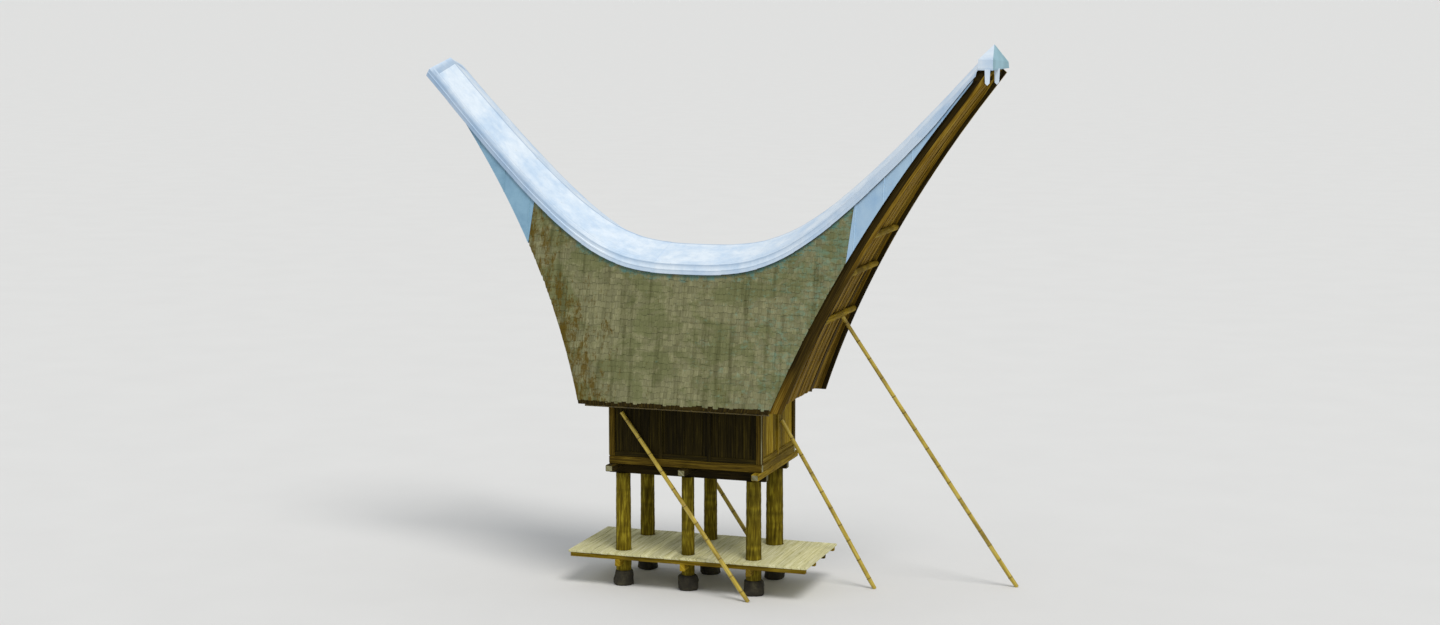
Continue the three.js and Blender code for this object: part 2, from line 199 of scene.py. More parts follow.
def cutAway(piece, cutters):
    for cutter in cutters:
        hole = piece.modifiers.new("hole", "BOOLEAN")
        hole.operation = "DIFFERENCE"
        hole.object = cutter
        hole.solver = "EXACT"
    applyModifiers(piece)
    for cutter in cutters:
        bpy.data.objects.remove(cutter)


def joinAll(pieces, name):
    activate(pieces[0])
    for piece in pieces:
        piece.select_set(True)
    bpy.ops.object.join()
    pieces[0].name = name
    return pieces[0]


def pointsOf(piece):
    return np.array([v.co[:] for v in piece.data.vertices])


# The points and faces of a pattern, which is then removed
def takeMesh(thing):
    setMode("OBJECT")
    points, faces = pointsOf(thing), [tuple(face.vertices) for face in thing.data.polygons]
    bpy.data.objects.remove(thing)
    return points, faces


def addGrain(mesh, uv):
    mesh.uv_layers.new(name="grain").data.foreach_set("uv", np.array(uv).ravel())


def addValues(piece, name, values):
    piece.data.attributes.new(name, "FLOAT", "POINT").data.foreach_set("value", values)


def hand(piece, finish, slot, *nodes):
    piece.data.materials.clear()
    piece.data.materials.append(finishes[finish])
    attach(piece, "root")
    if nodes:
        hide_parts(*nodes)
    return piece


# A second finish on the faces that pass the test
def addFinish(piece, finish, test):
    piece.data.materials.append(finishes[finish])
    for face in piece.data.polygons:
        face.material_index = int(test(face))


def boxOf(node):
    low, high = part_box(node)
    return np.array(low[:]), np.array(high[:])


def shifted(u, y, z):
    return np.array((u + middleX, y, z))


# Material helpers
def tint(red, green, blue):
    shares = [value / 255 for value in (red, green, blue)]
    return (*(s / 12.92 if s <= 0.04045 else ((s + 0.055) / 1.055) ** 2.4 for s in shares), 1.0)


def shades(*colors):
    return [tint(*color) for color in colors]


def gray(level):
    return (level, level, level, 1)


def setInputs(tree, node, inputs):
    for key, value in inputs.items():
        if isinstance(value, bpy.types.NodeSocket):
            tree.links.new(value, node.inputs[key])
        else:
            node.inputs[key].default_value = value


def addNode(tree, kind, inputs=None, **settings):
    made = tree.nodes.new(kind)
    for key, value in settings.items():
        setattr(made, key, value)
    setInputs(tree, made, inputs or {})
    return made


def addRamp(tree, factor, stops):
    made = addNode(tree, "ShaderNodeValToRGB", {"Fac": factor})
    first, *between, last = stops
    elements = made.color_ramp.elements
    elements[0].position, elements[0].color = first
    elements[1].position, elements[1].color = last
    for position, color in between:
        elements.new(position).color = color
    return made.outputs["Color"]


# From nothing at start to most at full
def addMask(tree, factor, start, full, most=1):
    return addRamp(tree, factor, [(start, gray(0)), (full, gray(most))])


def mixColor(tree, factor, first, second, blend="MIX"):
    inputs = {0: factor, 6: first, 7: second}
    return addNode(tree, "ShaderNodeMix", inputs, data_type="RGBA", blend_type=blend).outputs[2]


def multiply(tree, first, second, factor=1.0):
    return mixColor(tree, factor, first, second, "MULTIPLY")


def addNoise(tree, vector, scale, detail=4.0, roughness=0.6, distortion=0.0):
    return addNode(tree, "ShaderNodeTexNoise", {
        "Vector": vector, "Scale": scale, "Detail": detail, "Roughness": roughness, "Distortion": distortion,
    }).outputs["Fac"]


def startMaterial(name):
    material = bpy.data.materials.new(name)
    material.use_nodes = True
    return material, material.node_tree, material.node_tree.nodes["Principled BSDF"]


def stretch(tree, vector, scale):
    return addNode(tree, "ShaderNodeMapping", {"Vector": vector, "Scale": scale}).outputs["Vector"]


def objectPoint(tree, scale=(1, 1, 1)):
    return stretch(tree, addNode(tree, "ShaderNodeTexCoord").outputs["Object"], scale)


def grainPoint(tree, along, across):
    return stretch(tree, addNode(tree, "ShaderNodeUVMap", uv_map="grain").outputs["UV"], (along, across, 1))


# A number attribute of the mesh
def attributeValue(tree, name):
    return addNode(tree, "ShaderNodeAttribute", attribute_name=name).outputs["Fac"]


def calculate(tree, operation, first, second):
    return addNode(tree, "ShaderNodeMath", {0: first, 1: second}, operation=operation).outputs[0]


# A value taken from one range to another
def spread(tree, value, low, high, fromLow=0.0, fromHigh=1.0):
    return addNode(tree, "ShaderNodeMapRange", {
        "Value": value, "From Min": fromLow, "From Max": fromHigh, "To Min": low, "To Max": high,
    }).outputs["Result"]


def addBump(tree, shader, height, strength, distance):
    bump = addNode(tree, "ShaderNodeBump", {"Height": height, "Strength": strength, "Distance": distance})
    setInputs(tree, shader, {"Normal": bump.outputs["Normal"]})


# Timber in three shades along its grain. The tone attribute makes it lighter or darker, or takes it over to a
# second set of shades.
def makeWood(name, colors, grain=(1.6, 34), toneSpread=0.35, patch=None, second=None, bump=0.35):
    material, tree, shader = startMaterial(name)
    fine = addNoise(tree, grainPoint(tree, *grain), 1.0, 8, 0.65, 0.4)
    tone = attributeValue(tree, "tone")
    stops = (0.28, 0.5, 0.74)
    color = addRamp(tree, fine, zip(stops, shades(*colors)))
    if patch:
        broad = addNoise(tree, objectPoint(tree), 1.3, 3, 0.55)
        color = mixColor(tree, addMask(tree, broad, 0.5, 0.72), color, tint(*patch))
    if second:
        color = mixColor(tree, tone, color, addRamp(tree, fine, zip(stops, shades(*second))))
    else:
        color = multiply(tree, color, spread(tree, tone, 1 - toneSpread, 1 + toneSpread))
    checks = addNoise(tree, grainPoint(tree, grain[0] * 0.6, grain[1] * 2.2), 1.0, 3, 0.5, 0.2)
    checkMask = addRamp(tree, checks, [(0.30, (0.35, 0.33, 0.3, 1)), (0.38, gray(1))])
    setInputs(tree, shader, {
        "Base Color": multiply(tree, color, checkMask, 0.8), "Roughness": spread(tree, fine, 0.92, 0.7),
        "Specular IOR Level": 0.1,
    })
    addBump(tree, shader, calculate(tree, "MULTIPLY", fine, checkMask), bump, 0.004)
    return material


# Weathered shingles: grey and olive patches, rain streaks down the slope, ochre stains along the left verge,
# a teal bloom towards the right-hand horn, and a darker teal band just under the zinc cap
def makeShingleFinish():
    material, tree, shader = startMaterial("weathered_shingle")
    fine = addNoise(tree, grainPoint(tree, 6, 60), 1.0, 6, 0.7, 0.3)
    grays = shades((94, 92, 62), (118, 117, 84), (132, 130, 99), (154, 152, 124))
    color = addRamp(tree, fine, zip((0.25, 0.42, 0.6, 0.8), grays))
    color = multiply(tree, color, spread(tree, attributeValue(tree, "tone"), 0.82, 1.14))
    patches = addNoise(tree, objectPoint(tree, (1, 1, 1.5)), 1.5, 8, 0.72, 0.5)
    color = mixColor(tree, addMask(tree, patches, 0.47, 0.56, 0.7), color, tint(100, 104, 66))
    streaks = addRamp(tree, addNoise(tree, objectPoint(tree, (12, 0.5, 0.7)), 1.0, 5, 0.6), [
        (0.34, (0.66, 0.66, 0.6, 1)), (0.5, gray(1)), (0.72, (1.12, 1.12, 1.14, 1)),
    ])
    bands = addNoise(tree, objectPoint(tree, (0.8, 0.5, 15)), 1.0, 4, 0.6)
    color = multiply(tree, multiply(tree, color, streaks), spread(tree, bands, 0.84, 1.16))
    flecks = addNoise(tree, objectPoint(tree, (7, 3, 11)), 1.0, 6, 0.75)
    rust = addNoise(tree, objectPoint(tree, (8, 4, 3.2)), 1.0, 8, 0.8)
    across = addNode(tree, "ShaderNodeSeparateXYZ", {"Vector": objectPoint(tree)}).outputs["X"]
    # where a stain lies, how far it spreads, what breaks it up, its mask and its color
    for place, reach, speckle, mask, hue in (
        (across, (-0.06, 0.13, -1.0, 2.6), flecks, (0.58, 0.72, 0.42), (108, 150, 132)),
        (attributeValue(tree, "below"), (0.42, -0.1, 0.0, 0.36), flecks, (0.58, 0.76, 0.75), (84, 130, 124)),
        (attributeValue(tree, "edge"), (0.1, -0.08, 0.0, 1.2), rust, (0.53, 0.62, 0.85), (88, 70, 12)),
    ):
        level = calculate(tree, "ADD", spread(tree, place, *reach), speckle)
        color = mixColor(tree, addMask(tree, level, *mask), color, tint(*hue))
    setInputs(tree, shader, {"Base Color": color, "Roughness": 0.95, "Specular IOR Level": 0.1})
    addBump(tree, shader, fine, 0.5, 0.004)
    return material


# Zinc sheet with clouded patina and rain streaks. The tone attribute mixes in a dark blue-grey: painted
# shade, with some grime, along the folds and creases, and painted shade on the horn flaps and tip strip.
def makeZinc(name, base, shade, metallic):
    material, tree, shader = startMaterial(name)
    cloud = addNoise(tree, objectPoint(tree), 1.9, 5, 0.65)
    color = addRamp(tree, cloud, [(0.36, tint(*shade)), (0.58, tint(*base))])
    streak = addNoise(tree, objectPoint(tree, (9, 9, 1.2)), 1.0, 5, 0.65)
    streakMask = addRamp(tree, streak, [(0.35, (0.84, 0.88, 0.92, 1)), (0.6, gray(1))])
    color = multiply(tree, color, streakMask, 0.6)
    # painted shade: a dark blue-grey where the tone marks creases, fold lines and shaded flaps
    color = mixColor(tree, attributeValue(tree, "tone"), color, tint(104, 140, 176))
    specks = addNoise(tree, objectPoint(tree), 11.0, 4, 0.7)
    color = mixColor(tree, addMask(tree, specks, 0.66, 0.76, 0.45), color, tint(170, 160, 120))
    setInputs(tree, shader, {
        "Base Color": color, "Metallic": metallic, "Roughness": spread(tree, streak, 0.36, 0.6),
    })
    addBump(tree, shader, addNoise(tree, objectPoint(tree), 4.5, 2, 0.4), 0.25, 0.012)
    return material


# The last color is that of the nodes.
def makeBamboo(name, *fibres):
    material, tree, shader = startMaterial(name)
    *colors, nodeColor = shades(*fibres)
    fibre = addNoise(tree, grainPoint(tree, 2.0, 55), 1.0, 6, 0.6)
    color = addRamp(tree, fibre, zip((0.28, 0.5, 0.75), colors))
    stain = addMask(tree, addNoise(tree, objectPoint(tree), 2.4, 4, 0.6), 0.5, 0.68, 0.75)
    color = mixColor(tree, stain, color, mixColor(tree, 0.6, colors[0], nodeColor))
    color = mixColor(tree, attributeValue(tree, "tone"), color, nodeColor)
    setInputs(tree, shader, {"Base Color": color, "Roughness": 0.48})
    addBump(tree, shader, fibre, 0.15, 0.002)
    return material


# Field stones in dark greys with moss: their grey is painted dark as painted shade under the deck
def makeStone():
    material, tree, shader = startMaterial("field_stone")
    vector = objectPoint(tree)
    grays = shades((24, 21, 14), (46, 42, 30), (82, 77, 58))
    color = addRamp(tree, addNoise(tree, vector, 5.0, 8, 0.7), zip((0.3, 0.5, 0.72), grays))
    moss = addMask(tree, addNoise(tree, vector, 2.4, 4, 0.6), 0.55, 0.7, 0.5)
    setInputs(tree, shader, {"Base Color": mixColor(tree, moss, color, tint(62, 62, 24)), "Roughness": 0.95})
    addBump(tree, shader, addNoise(tree, vector, 26.0, 8, 0.7), 0.6, 0.01)
    return material


def makeFloorFinish(name, level):
    material, tree, shader = startMaterial(name)
    cloud = addNoise(tree, objectPoint(tree), 0.6, 3, 0.5)
    color = addRamp(tree, cloud, [(0.3, gray(level * 0.98)), (0.7, gray(level))])
    setInputs(tree, shader, {"Base Color": color, "Roughness": 0.95, "Specular IOR Level": 0.05})
    return material


print("materials")
finishes = {
    "shingle": makeShingleFinish(),
    # Copies of one zinc painted for light: the cap brightest, the right-hand horn lit, the left-hand horn and
    # the hood's front darker and bluer as painted shade
    "capZinc": makeZinc("bright_zinc", (232, 243, 254), (206, 226, 247), 0.15),
    "leftZinc": makeZinc("shaded_horn_zinc", (160, 202, 218), (130, 172, 190), 0.15),
    "rightZinc": makeZinc("lit_horn_zinc", (208, 236, 255), (178, 214, 246), 0.1),
    "hoodFront": makeZinc("hood_front_zinc", (158, 200, 212), (132, 176, 186), 0.1),
    "dark": makeWood("dark_timber", ((14, 10, 1), (38, 29, 4), (76, 62, 14)), patch=(52, 40, 6)),
    "verge": makeWood(
        "verge_board", ((16, 11, 1), (36, 27, 4), (66, 52, 12)),
        second=((62, 44, 4), (128, 98, 22), (186, 158, 66)),
    ),
    # the long walls' boards: dark wood, painted darker still as painted shade under the eaves
    "wall": makeWood("dark_shaded_wall_board", ((12, 9, 1), (34, 27, 3), (64, 54, 10)), toneSpread=0.4),
    "golden": makeWood(
        "golden_board", ((76, 56, 4), (132, 108, 18), (184, 160, 58)), patch=(92, 74, 18),
        toneSpread=0.55,
    ),
    "gable": makeWood("gable_board", ((44, 30, 2), (100, 76, 12), (160, 134, 48)), toneSpread=0.7),
    "brown": makeWood("brown_timber", ((34, 25, 2), (72, 56, 8), (118, 98, 28))),
    "bleached": makeWood(
        "bleached_plank", ((168, 162, 106), (206, 202, 154), (232, 229, 198)), toneSpread=0.14,
    ),
    # pale end grain, also used as the painted highlight along the corner arrises
    "endGrainAndHighlight": makeWood("end_grain_and_arris_highlight", ((78, 72, 40), (118, 114, 82), (156, 156, 132))),
    "palm": makeWood(
        "palm_trunk", ((52, 40, 3), (98, 84, 12), (160, 146, 44)), grain=(3.0, 26), bump=0.6,
    ),
    "bamboo": makeBamboo("dry_bamboo", (140, 114, 20), (188, 164, 54), (220, 202, 112), (96, 76, 16)),
    "oldBamboo": makeBamboo("old_bamboo", (54, 42, 8), (92, 76, 20), (136, 116, 44), (36, 27, 4)),
    "stone": makeStone(),
}


# A board with chamfered edges, modelled once. Its copies are fitted to each size.
def makeBoardPattern():
    board = added(bpy.ops.mesh.primitive_cube_add, size=1)
    editAll(board)
    bpy.ops.mesh.bevel(offset=0.1, segments=1, affect="EDGES")
    for cutAt in (-0.2, 0.0, 0.2):
        bpy.ops.mesh.select_all(action="SELECT")
        bpy.ops.mesh.bisect(plane_co=(cutAt, 0, 0), plane_no=(1, 0, 0))
    return takeMesh(board)


boardPoints, boardFaces = makeBoardPattern()


# A pile gathers boards, shingles or bars that become one mesh.
def newPile():
    return {"points": [], "faces": [], "uv": [], "tone": [], "count": 0}


def addToPile(pile, points, faces, uv, tone):
    base = pile["count"]
    pile["points"].append(points)
    for face in faces:
        pile["faces"].append(tuple(base + i for i in face))
        pile["uv"].extend(uv[i] for i in face)
    pile["tone"].append(np.broadcast_to(tone, (len(points),)))
    pile["count"] += len(points)


def pileToPiece(pile, name):
    mesh = bpy.data.meshes.new(name)
    mesh.from_pydata(np.concatenate(pile["points"]).tolist(), [], pile["faces"])
    addGrain(mesh, pile["uv"])
    mesh.update()
    piece = bpy.data.objects.new(name, mesh)
    bpy.context.collection.objects.link(piece)
    addValues(piece, "tone", np.concatenate(pile["tone"]))
    faceOut(piece)
    return piece


# A board between two corners of its box, its grain along one axis
def addBoard(pile, dice, low, high, along, bevel=0.006, bow=0.0, tone=None):
    low, high = np.minimum(low, high), np.maximum(low, high)
    order = {"X": (0, 1, 2), "Y": (1, 2, 0), "Z": (2, 0, 1)}[along]
    half = ((high - low) / 2)[list(order)]
    inner = half - np.minimum(bevel, half * 0.6)
    local = np.where(np.abs(boardPoints) > 0.45, np.sign(boardPoints) * half, boardPoints / 0.4 * inner)
    if bow:
        arch = np.cos(local[:, 0] / half[0] * math.pi / 2)
        for axis in (1, 2):
            local[:, axis] += bow * dice.uniform(-1, 1) * arch
    points = np.empty_like(local)
    points[:, order] = local
    points += (low + high) / 2
    start = (dice.uniform(0, 40), dice.uniform(0, 40))
    uv = [(p[0] + start[0], p[1] + p[2] + start[1]) for p in local]
    addToPile(pile, points, boardFaces, uv, dice.random() if tone is None else tone)


# Boards of uneven width side by side, each as its start and width
def boardsBetween(dice, start, stop, wide, vary=(0.85, 1.15), rest=0.02):
    at = start
    while at < stop - rest:
        width = wide * dice.uniform(*vary)
        yield at, min(width, stop - at)
        at += width


# A pole grown ring by ring, then laid between two points. A ring is its share of the length, radius and tone.
def makePole(name, start, end, rings, sides, dice, bend=0.0):
    start, end = Vector(start), Vector(end)
    length = (end - start).length
    foot = rings[0][1]
    pole = added(bpy.ops.mesh.primitive_circle_add, vertices=sides, radius=foot, fill_type="NGON")
    editAll(pole)
    for (before, was, _), (share, radius, _) in zip(rings, rings[1:]):
        bpy.ops.mesh.extrude_region_move(TRANSFORM_OT_translate={"value": (0, 0, (share - before) * length)})
        bpy.ops.transform.resize(value=(radius / was, radius / was, 1), center_override=(0, 0, 0))
    setMode("OBJECT")
    pole.name = name
    mesh = pole.data
    while mesh.uv_layers:
        mesh.uv_layers.remove(mesh.uv_layers[0])
    points = pointsOf(pole)
    uv = np.stack([points[:, 2], np.arctan2(points[:, 1], points[:, 0]) * foot], 1)
    addGrain(mesh, uv[[loop.vertex_index for loop in mesh.loops]] + dice.uniform(0, 30))
    addValues(pole, "tone", np.interp(points[:, 2], [r[0] * length for r in rings], [r[2] for r in rings]))
    swing = dice.uniform(0, 2 * math.pi)
    arch = bend * np.sin(points[:, 2] / length * math.pi)
    points[:, 0] += arch * math.cos(swing)
    points[:, 1] += arch * math.sin(swing)
    mesh.vertices.foreach_set("co", points.ravel())
    turn = (end - start).to_track_quat("Z", "Y").to_matrix().to_4x4()
    mesh.transform(Matrix.Translation(start) @ turn)
    mesh.update()
    faceOut(pole)
    smooth(pole, 50)
    return pole


# A bamboo node swells and darkens: the place of each ring, its share of the radius and its tone
caneNode = (
    (-0.012, 1.0, 0.1), (-0.004, 1.07, 0.9), (0.003, 1.07, 0.9), (0.01, 0.985, 0.25), (0.05, 0.985, 0.0),
)


def bambooRings(length, foot, head, spacing, dice):
    rings = [(0.0, foot, 0.0)]
    at = spacing * 0.6
    while at < length - 0.08:
        radius = foot + (head - foot) * at / length
        rings += [((at + offset) / length, radius * swell, tone) for offset, swell, tone in caneNode]
        at += spacing * dice.uniform(0.85, 1.15)
    return rings + [(1.0, head, 0.0)]


# Roofing. The shingles start above the eave band.
shingles = {
    "width": (0.045, 0.1), "course": 0.096, "drop": 0.02, "lap": 0.055, "thick": 0.005, "sink": 0.008,
    "gap": 0.0008, "proud": 0.004, "seed": 11, "band": 0.056, "narrowest": 0.012,
    "stainFrom": 5.2, "stainFade": 0.4,
}


def makeShinglePattern():
    shingle = added(bpy.ops.mesh.primitive_cube_add, size=1, location=(0.5, 0.5, 0.5))
    settle(shingle)
    setMode("EDIT")
    bpy.ops.mesh.select_all(action="DESELECT")
    setMode("OBJECT")
    for edge in shingle.data.edges:
        a, b = (shingle.data.vertices[i].co for i in edge.vertices)
        edge.select = a.y < 0.1 and b.y < 0.1 and abs(a.z - b.z) > 0.5
    setMode("EDIT")
    bpy.ops.mesh.select_mode(type="EDGE")
    bpy.ops.mesh.bevel(offset=0.1, segments=1, affect="EDGES")
    return takeMesh(shingle)


def makeShingleSlope(row):
    side, course = sideOf[row], shingles["course"]
    dice = random.Random(shingles["seed"] + side)
    points, faces = makeShinglePattern()
    across, up, deep = points.T
    turned = faces if side < 0 else [face[::-1] for face in faces]
    pile = newPile()
    z = roof["eave"] + shingles["band"]
    highest = max(slopeTopAt(wayOf[end] * roof["joint"][end]) for end in wayOf)
    while z < highest:
        reachLeft = min(jointAt("left", z), vergeAt("left", z + course))
        reachRight = min(jointAt("right", z + course), vergeAt("right", z + course))
        u = -reachLeft - dice.uniform(0, 0.05)
        while u < reachRight:
            width = dice.uniform(*shingles["width"])
            drop = dice.uniform(-1, 1) * shingles["drop"]
            if slopeTopAt(u + width / 2) > z + 0.01:
                zs = z + drop + up * (course + shingles["lap"])
                us = u + across * (width - shingles["gap"])
                for lineAt in (vergeAt, jointAt):
                    us = np.clip(us, -lineAt("left", zs), lineAt("right", zs))
                zs = np.minimum(zs, slopeTopAt(us))
                proud = dice.uniform(0.0, shingles["proud"])
                ys = slopeY(us, zs, proud + up * shingles["sink"] + deep * shingles["thick"])
                if us.max() - us.min() > shingles["narrowest"]:
                    shift = (dice.uniform(0, 40), dice.uniform(0, 40))
                    uv = np.stack([zs + shift[0], us + 0.5 * deep + shift[1]], 1)
                    placed = np.stack([us + middleX, side * ys, zs], 1)
                    addToPile(pile, placed, turned, uv.tolist(), dice.random())
            u += width
        z += course
    piece = pileToPiece(pile, f"{row}_roof_shingles")
    spots = pointsOf(piece)
    across, up = spots[:, 0] - middleX, spots[:, 2]
    fade = shingles["stainFade"] * np.maximum(up - shingles["stainFrom"], 0)
    addValues(piece, "below", slopeTopAt(across) - up)
    addValues(piece, "edge", across + np.minimum(vergeAt("left", up), roof["joint"]["left"]) + fade)
    return hand(piece, "shingle", "shingle", f"{row}_shingle_slope")


def shellPoints(outer, inner):
    return np.concatenate([outer.reshape(-1, 3), inner.reshape(-1, 3)])


# Closes the space between a grid of outer points and one of inner points.
def addShell(pile, outer, inner, uv, tone):
    under = outer.shape[0] * outer.shape[1]
    index = np.arange(under).reshape(outer.shape[:2])
    cells = np.stack([index[:-1, :-1], index[:-1, 1:], index[1:, 1:], index[1:, :-1]], -1).reshape(-1, 4)
    rim = np.r_[index[0], index[1:, -1], index[-1, -2::-1], index[-2:0:-1, 0]]
    after = np.roll(rim, -1)
    edges = np.stack([after, rim, under + rim, under + after], 1)
    faces = np.concatenate([cells, under + cells[:, ::-1], edges]).tolist()
    addToPile(pile, shellPoints(outer, inner), faces, uv, tone)


def makeShell(name, outer, inner):
    span, rise = (
        np.cumsum(np.r_[0, np.linalg.norm(np.diff(line, axis=0), axis=1)])
        for line in (outer[len(outer) // 2], outer[:, outer.shape[1] // 2])
    )
    pile = newPile()
    addShell(pile, outer, inner, [(up, across) for up in rise for across in span] * 2, 0.5)
    return pileToPiece(pile, name)


# A sheet on a roof side between two depths, its ends at each share of the slope given by endsAt
def makeSlopeSheet(name, row, endsAt, depths, shares, across):
    sheets = [], []
    for s in shares:
        us = np.linspace(*endsAt(s), across)
        zs = heightAt(us, s)
        for sheet, depth in zip(sheets, depths):
            sheet.append(np.stack([us + middleX, sideOf[row] * slopeY(us, zs, depth), zs], 1))
    return makeShell(name, np.array(sheets[0]), np.array(sheets[1]))


# Boards under the shingles, and the band along the eave. The band's top is a share of the slope.
underlay = {"margin": 0.004, "depth": 0.026, "from": 0.003, "band": (0.004, 0.035), "bandTop": 0.027}


def makeUnderlay(row):
    def endsAt(s):
        left, right = (edgeOnRow(end, s, jointOnRow(end, s)) - underlay["margin"] for end in wayOf)
        return -left, right

    shares = np.linspace(underlay["from"], 1, 24)
    depths = (underlay["depth"], roof["thick"])
    hand(makeSlopeSheet(f"{row}_roof_underlay", row, endsAt, depths, shares, 40), "brown", "shingle")
    shares = np.linspace(0.0, underlay["bandTop"], 3)
    # the eave band is dark timber, partly painted shade: it stands for the shaded thickness of the roof along
    # the eave
    hand(makeSlopeSheet(f"{row}_eave_band", row, endsAt, underlay["band"], shares, 24), "dark", "shingle")


cladding = {
    "sheet": 0.004, "boards": 0.008, "short": 0.03, "joint": 0.002,
    "seamEvery": 0.46, "seamWide": 0.014, "seamHigh": 0.010, "seamRoot": 0.002,
    "firstSeam": 0.02, "lastSeam": 0.1, "seamShare": 0.98,
}


# A raised seam straight up the slope
def addSlopeBar(pile, side, u, low):
    wide, high, root = cladding["seamWide"], cladding["seamHigh"], cladding["seamRoot"]
    outer, inner = (
        np.array([
            [(u + offset * wide + middleX, side * slopeY(u, z, depth), z) for offset in (-half, half)]
            for z in heightAt(u, np.linspace(low, 1, 11))
        ])
        for half, depth in ((0.35, -high), (0.5, root))
    )
    addShell(pile, outer, inner, shellPoints(outer, inner)[:, [2, 0]].tolist(), 0.3)


def makeHornSide(row, end):
    way = wayOf[end]
    tip = roof["tip"][end][0] - cladding["short"]
    joint = cladding["joint"]

    def endsAt(s):
        start = jointOnRow(end, s) + joint
        return way * start, way * max(edgeOnRow(end, s, tip), start + joint)

    first = settleOn(0.0, 1.0, lambda s: edgeOnRow(end, s, tip) < jointOnRow(end, s) + 2 * joint)
    shares = np.linspace(first, 1, 22)
    depths = (cladding["boards"], roof["thick"])
    hand(makeSlopeSheet(f"{row}_{end}_horn_boards", row, endsAt, depths, shares, 30), "dark", "zinc")
    sheet = makeSlopeSheet(f"{row}_{end}_horn_sheets", row, endsAt, (0.0, cladding["sheet"]), shares, 30)
    pile = newPile()
    u = max(roof["joint"][end], jointOnRow(end, first)) + cladding["firstSeam"]
    while u < tip - cladding["lastSeam"]:
        low = settleOn(0.0, 1.0, lambda s: vergeAt(end, heightAt(way * u, s)) < u)
        if low < cladding["seamShare"]:
            addSlopeBar(pile, sideOf[row], way * u, low)
        u += cladding["seamEvery"]
    hand(pileToPiece(pile, f"{row}_{end}_horn_seams"), f"{end}Zinc", "zinc")
    smooth(sheet, 30)
    hand(sheet, f"{end}Zinc", "zinc", f"{row}_{end}_horn_cladding")


print("roofing")
for row in sideOf:
    makeShingleSlope(row)
    makeUnderlay(row)
    for end in wayOf:
        makeHornSide(row, end)


# Ridge cap: folded sheets that lap, each over the one below it. Creases are (inset from the edge or share of
# the flap, rise, painted shade and grime), from the fold at the ridge to the foot of the flap.
cap = {
    "sheet": 0.003, "length": 0.62, "lap": 0.05, "lift": 0.005, "spread": 0.034,
    "flap": 0.164, "flapLeast": 0.05, "flapTaper": 0.19, "taperFrom": 4.08,
    "border": ((0.150, 0, 0), (0.128, 0, 0.16), (0.116, 0.006, 0), (0.094, 0.006, 0), (0.084, 0, 0.16),
               (0.060, 0, 0), (0.012, 0, 0.1), (0.0, -0.004, 0.55)),
    "hem": ((0.22, 0, 0.2), (0.38, 0, 0.12), (0.44, 0.005, 0.05), (0.56, 0.005, 0), (0.62, 0, 0.45),
            (0.72, 0, 0.3), (0.96, 0, 0.25), (1.0, -0.004, 0.6)),
    "hornTone": {"left": 0.6, "right": 0.34}, "hornFrom": 1.5, "hornTo": 2.9,
    "stripLong": 0.17, "stripLift": 0.006, "stripThick": 0.004, "stripTones": (0.5, 0.5, 0.42, 0.0),
    "boardInset": 0.012, "boardShort": 0.014, "boardLayers": ((-0.006, 0.004), (-0.029, 0.026)),
}
capShares = (0.0, 0.018, 0.045, 0.25, 0.5, 0.7)
# the tones darken the apex crease, the border folds and the flap's foot: painted shade in the creases, with
# some grime
capTones = [0.1, 0.6, 0.0, 0.0, 0.0, 0.0] + [crease[2] for crease in cap["border"] + cap["hem"]]


# Towards the right-hand tip the flap grows shallower.
def flapAt(u):
    return max(cap["flap"] - cap["flapTaper"] * max(u - cap["taperFrom"], 0), cap["flapLeast"])


# Points (y, z) across one half of the cap at u
def capProfile(u, lift=0.0, spread=cap["spread"], short=0.0, beads=True):
    apex = ridgeAt(u) + lift
    half = capHalfAt(u)
    fall = roof["capDrop"] / half
    lean = (roof["eaveHalf"] - half) / (slopeTopAt(u) - roof["eave"])
    edge = half + spread
    flap = flapAt(u) - short
    points = [(edge * share, apex - fall * edge * share) for share in capShares]
    for inset, rise, _ in cap["border"]:
        points.append((edge - inset, apex - fall * (edge - inset) + rise * beads))
    for down, out, _ in cap["hem"]:
        points.append((edge + lean * flap * down + out * beads, apex - fall * edge - flap * down))
    return points


# Where each crease of the cap meets its slanting end, as distances from the middle
def tipsAt(end, inset=0.0, beads=True):
    way = wayOf[end]
    edge, slant = roof["tip"][end]
    foot = ridgeAt(way * edge) - roof["capDrop"]

    def before(u, index):
        return u < edge - inset - slant * (capProfile(way * u, beads=beads)[index][1] - foot)

    return [settleOn(3.0, 5.6, lambda u: before(u, index)) for index in range(len(capTones))]


# Rings across the cap, each crease running from its start to its stop
def capGrid(starts, stops, steps, lifts, **options):
    grid = []
    for k in range(steps + 1):
        share = k / steps
        lift = lifts[0] + (lifts[1] - lifts[0]) * share
        half = []
        for index, (start, stop) in enumerate(zip(starts, stops)):
            u = start + (stop - start) * share
            y, z = capProfile(u, lift=lift, **options)[index]
            half.append((u + middleX, float(y), float(z)))
        grid.append(half[::-1] + [(x, -y, z) for x, y, z in half[1:]])
    return np.array(grid)


def gridSheet(name, grid, tones, thickness):
    height, width = grid.shape[:2]
    sheet = added(bpy.ops.mesh.primitive_grid_add, x_subdivisions=width - 1, y_subdivisions=height - 1)
    sheet.name = name
    sheet.data.vertices.foreach_set("co", grid.reshape(-1))
    addValues(sheet, "tone", np.broadcast_to(tones, (height, width)).ravel())
    sheet.data.update()
    faceOut(sheet)
    if sheet.data.polygons[len(sheet.data.polygons) // 2].normal.z < 0:
        editAll(sheet)
        bpy.ops.mesh.flip_normals()
        setMode("OBJECT")
    thicken(sheet, thickness)
    smooth(sheet, 25)
    return sheet


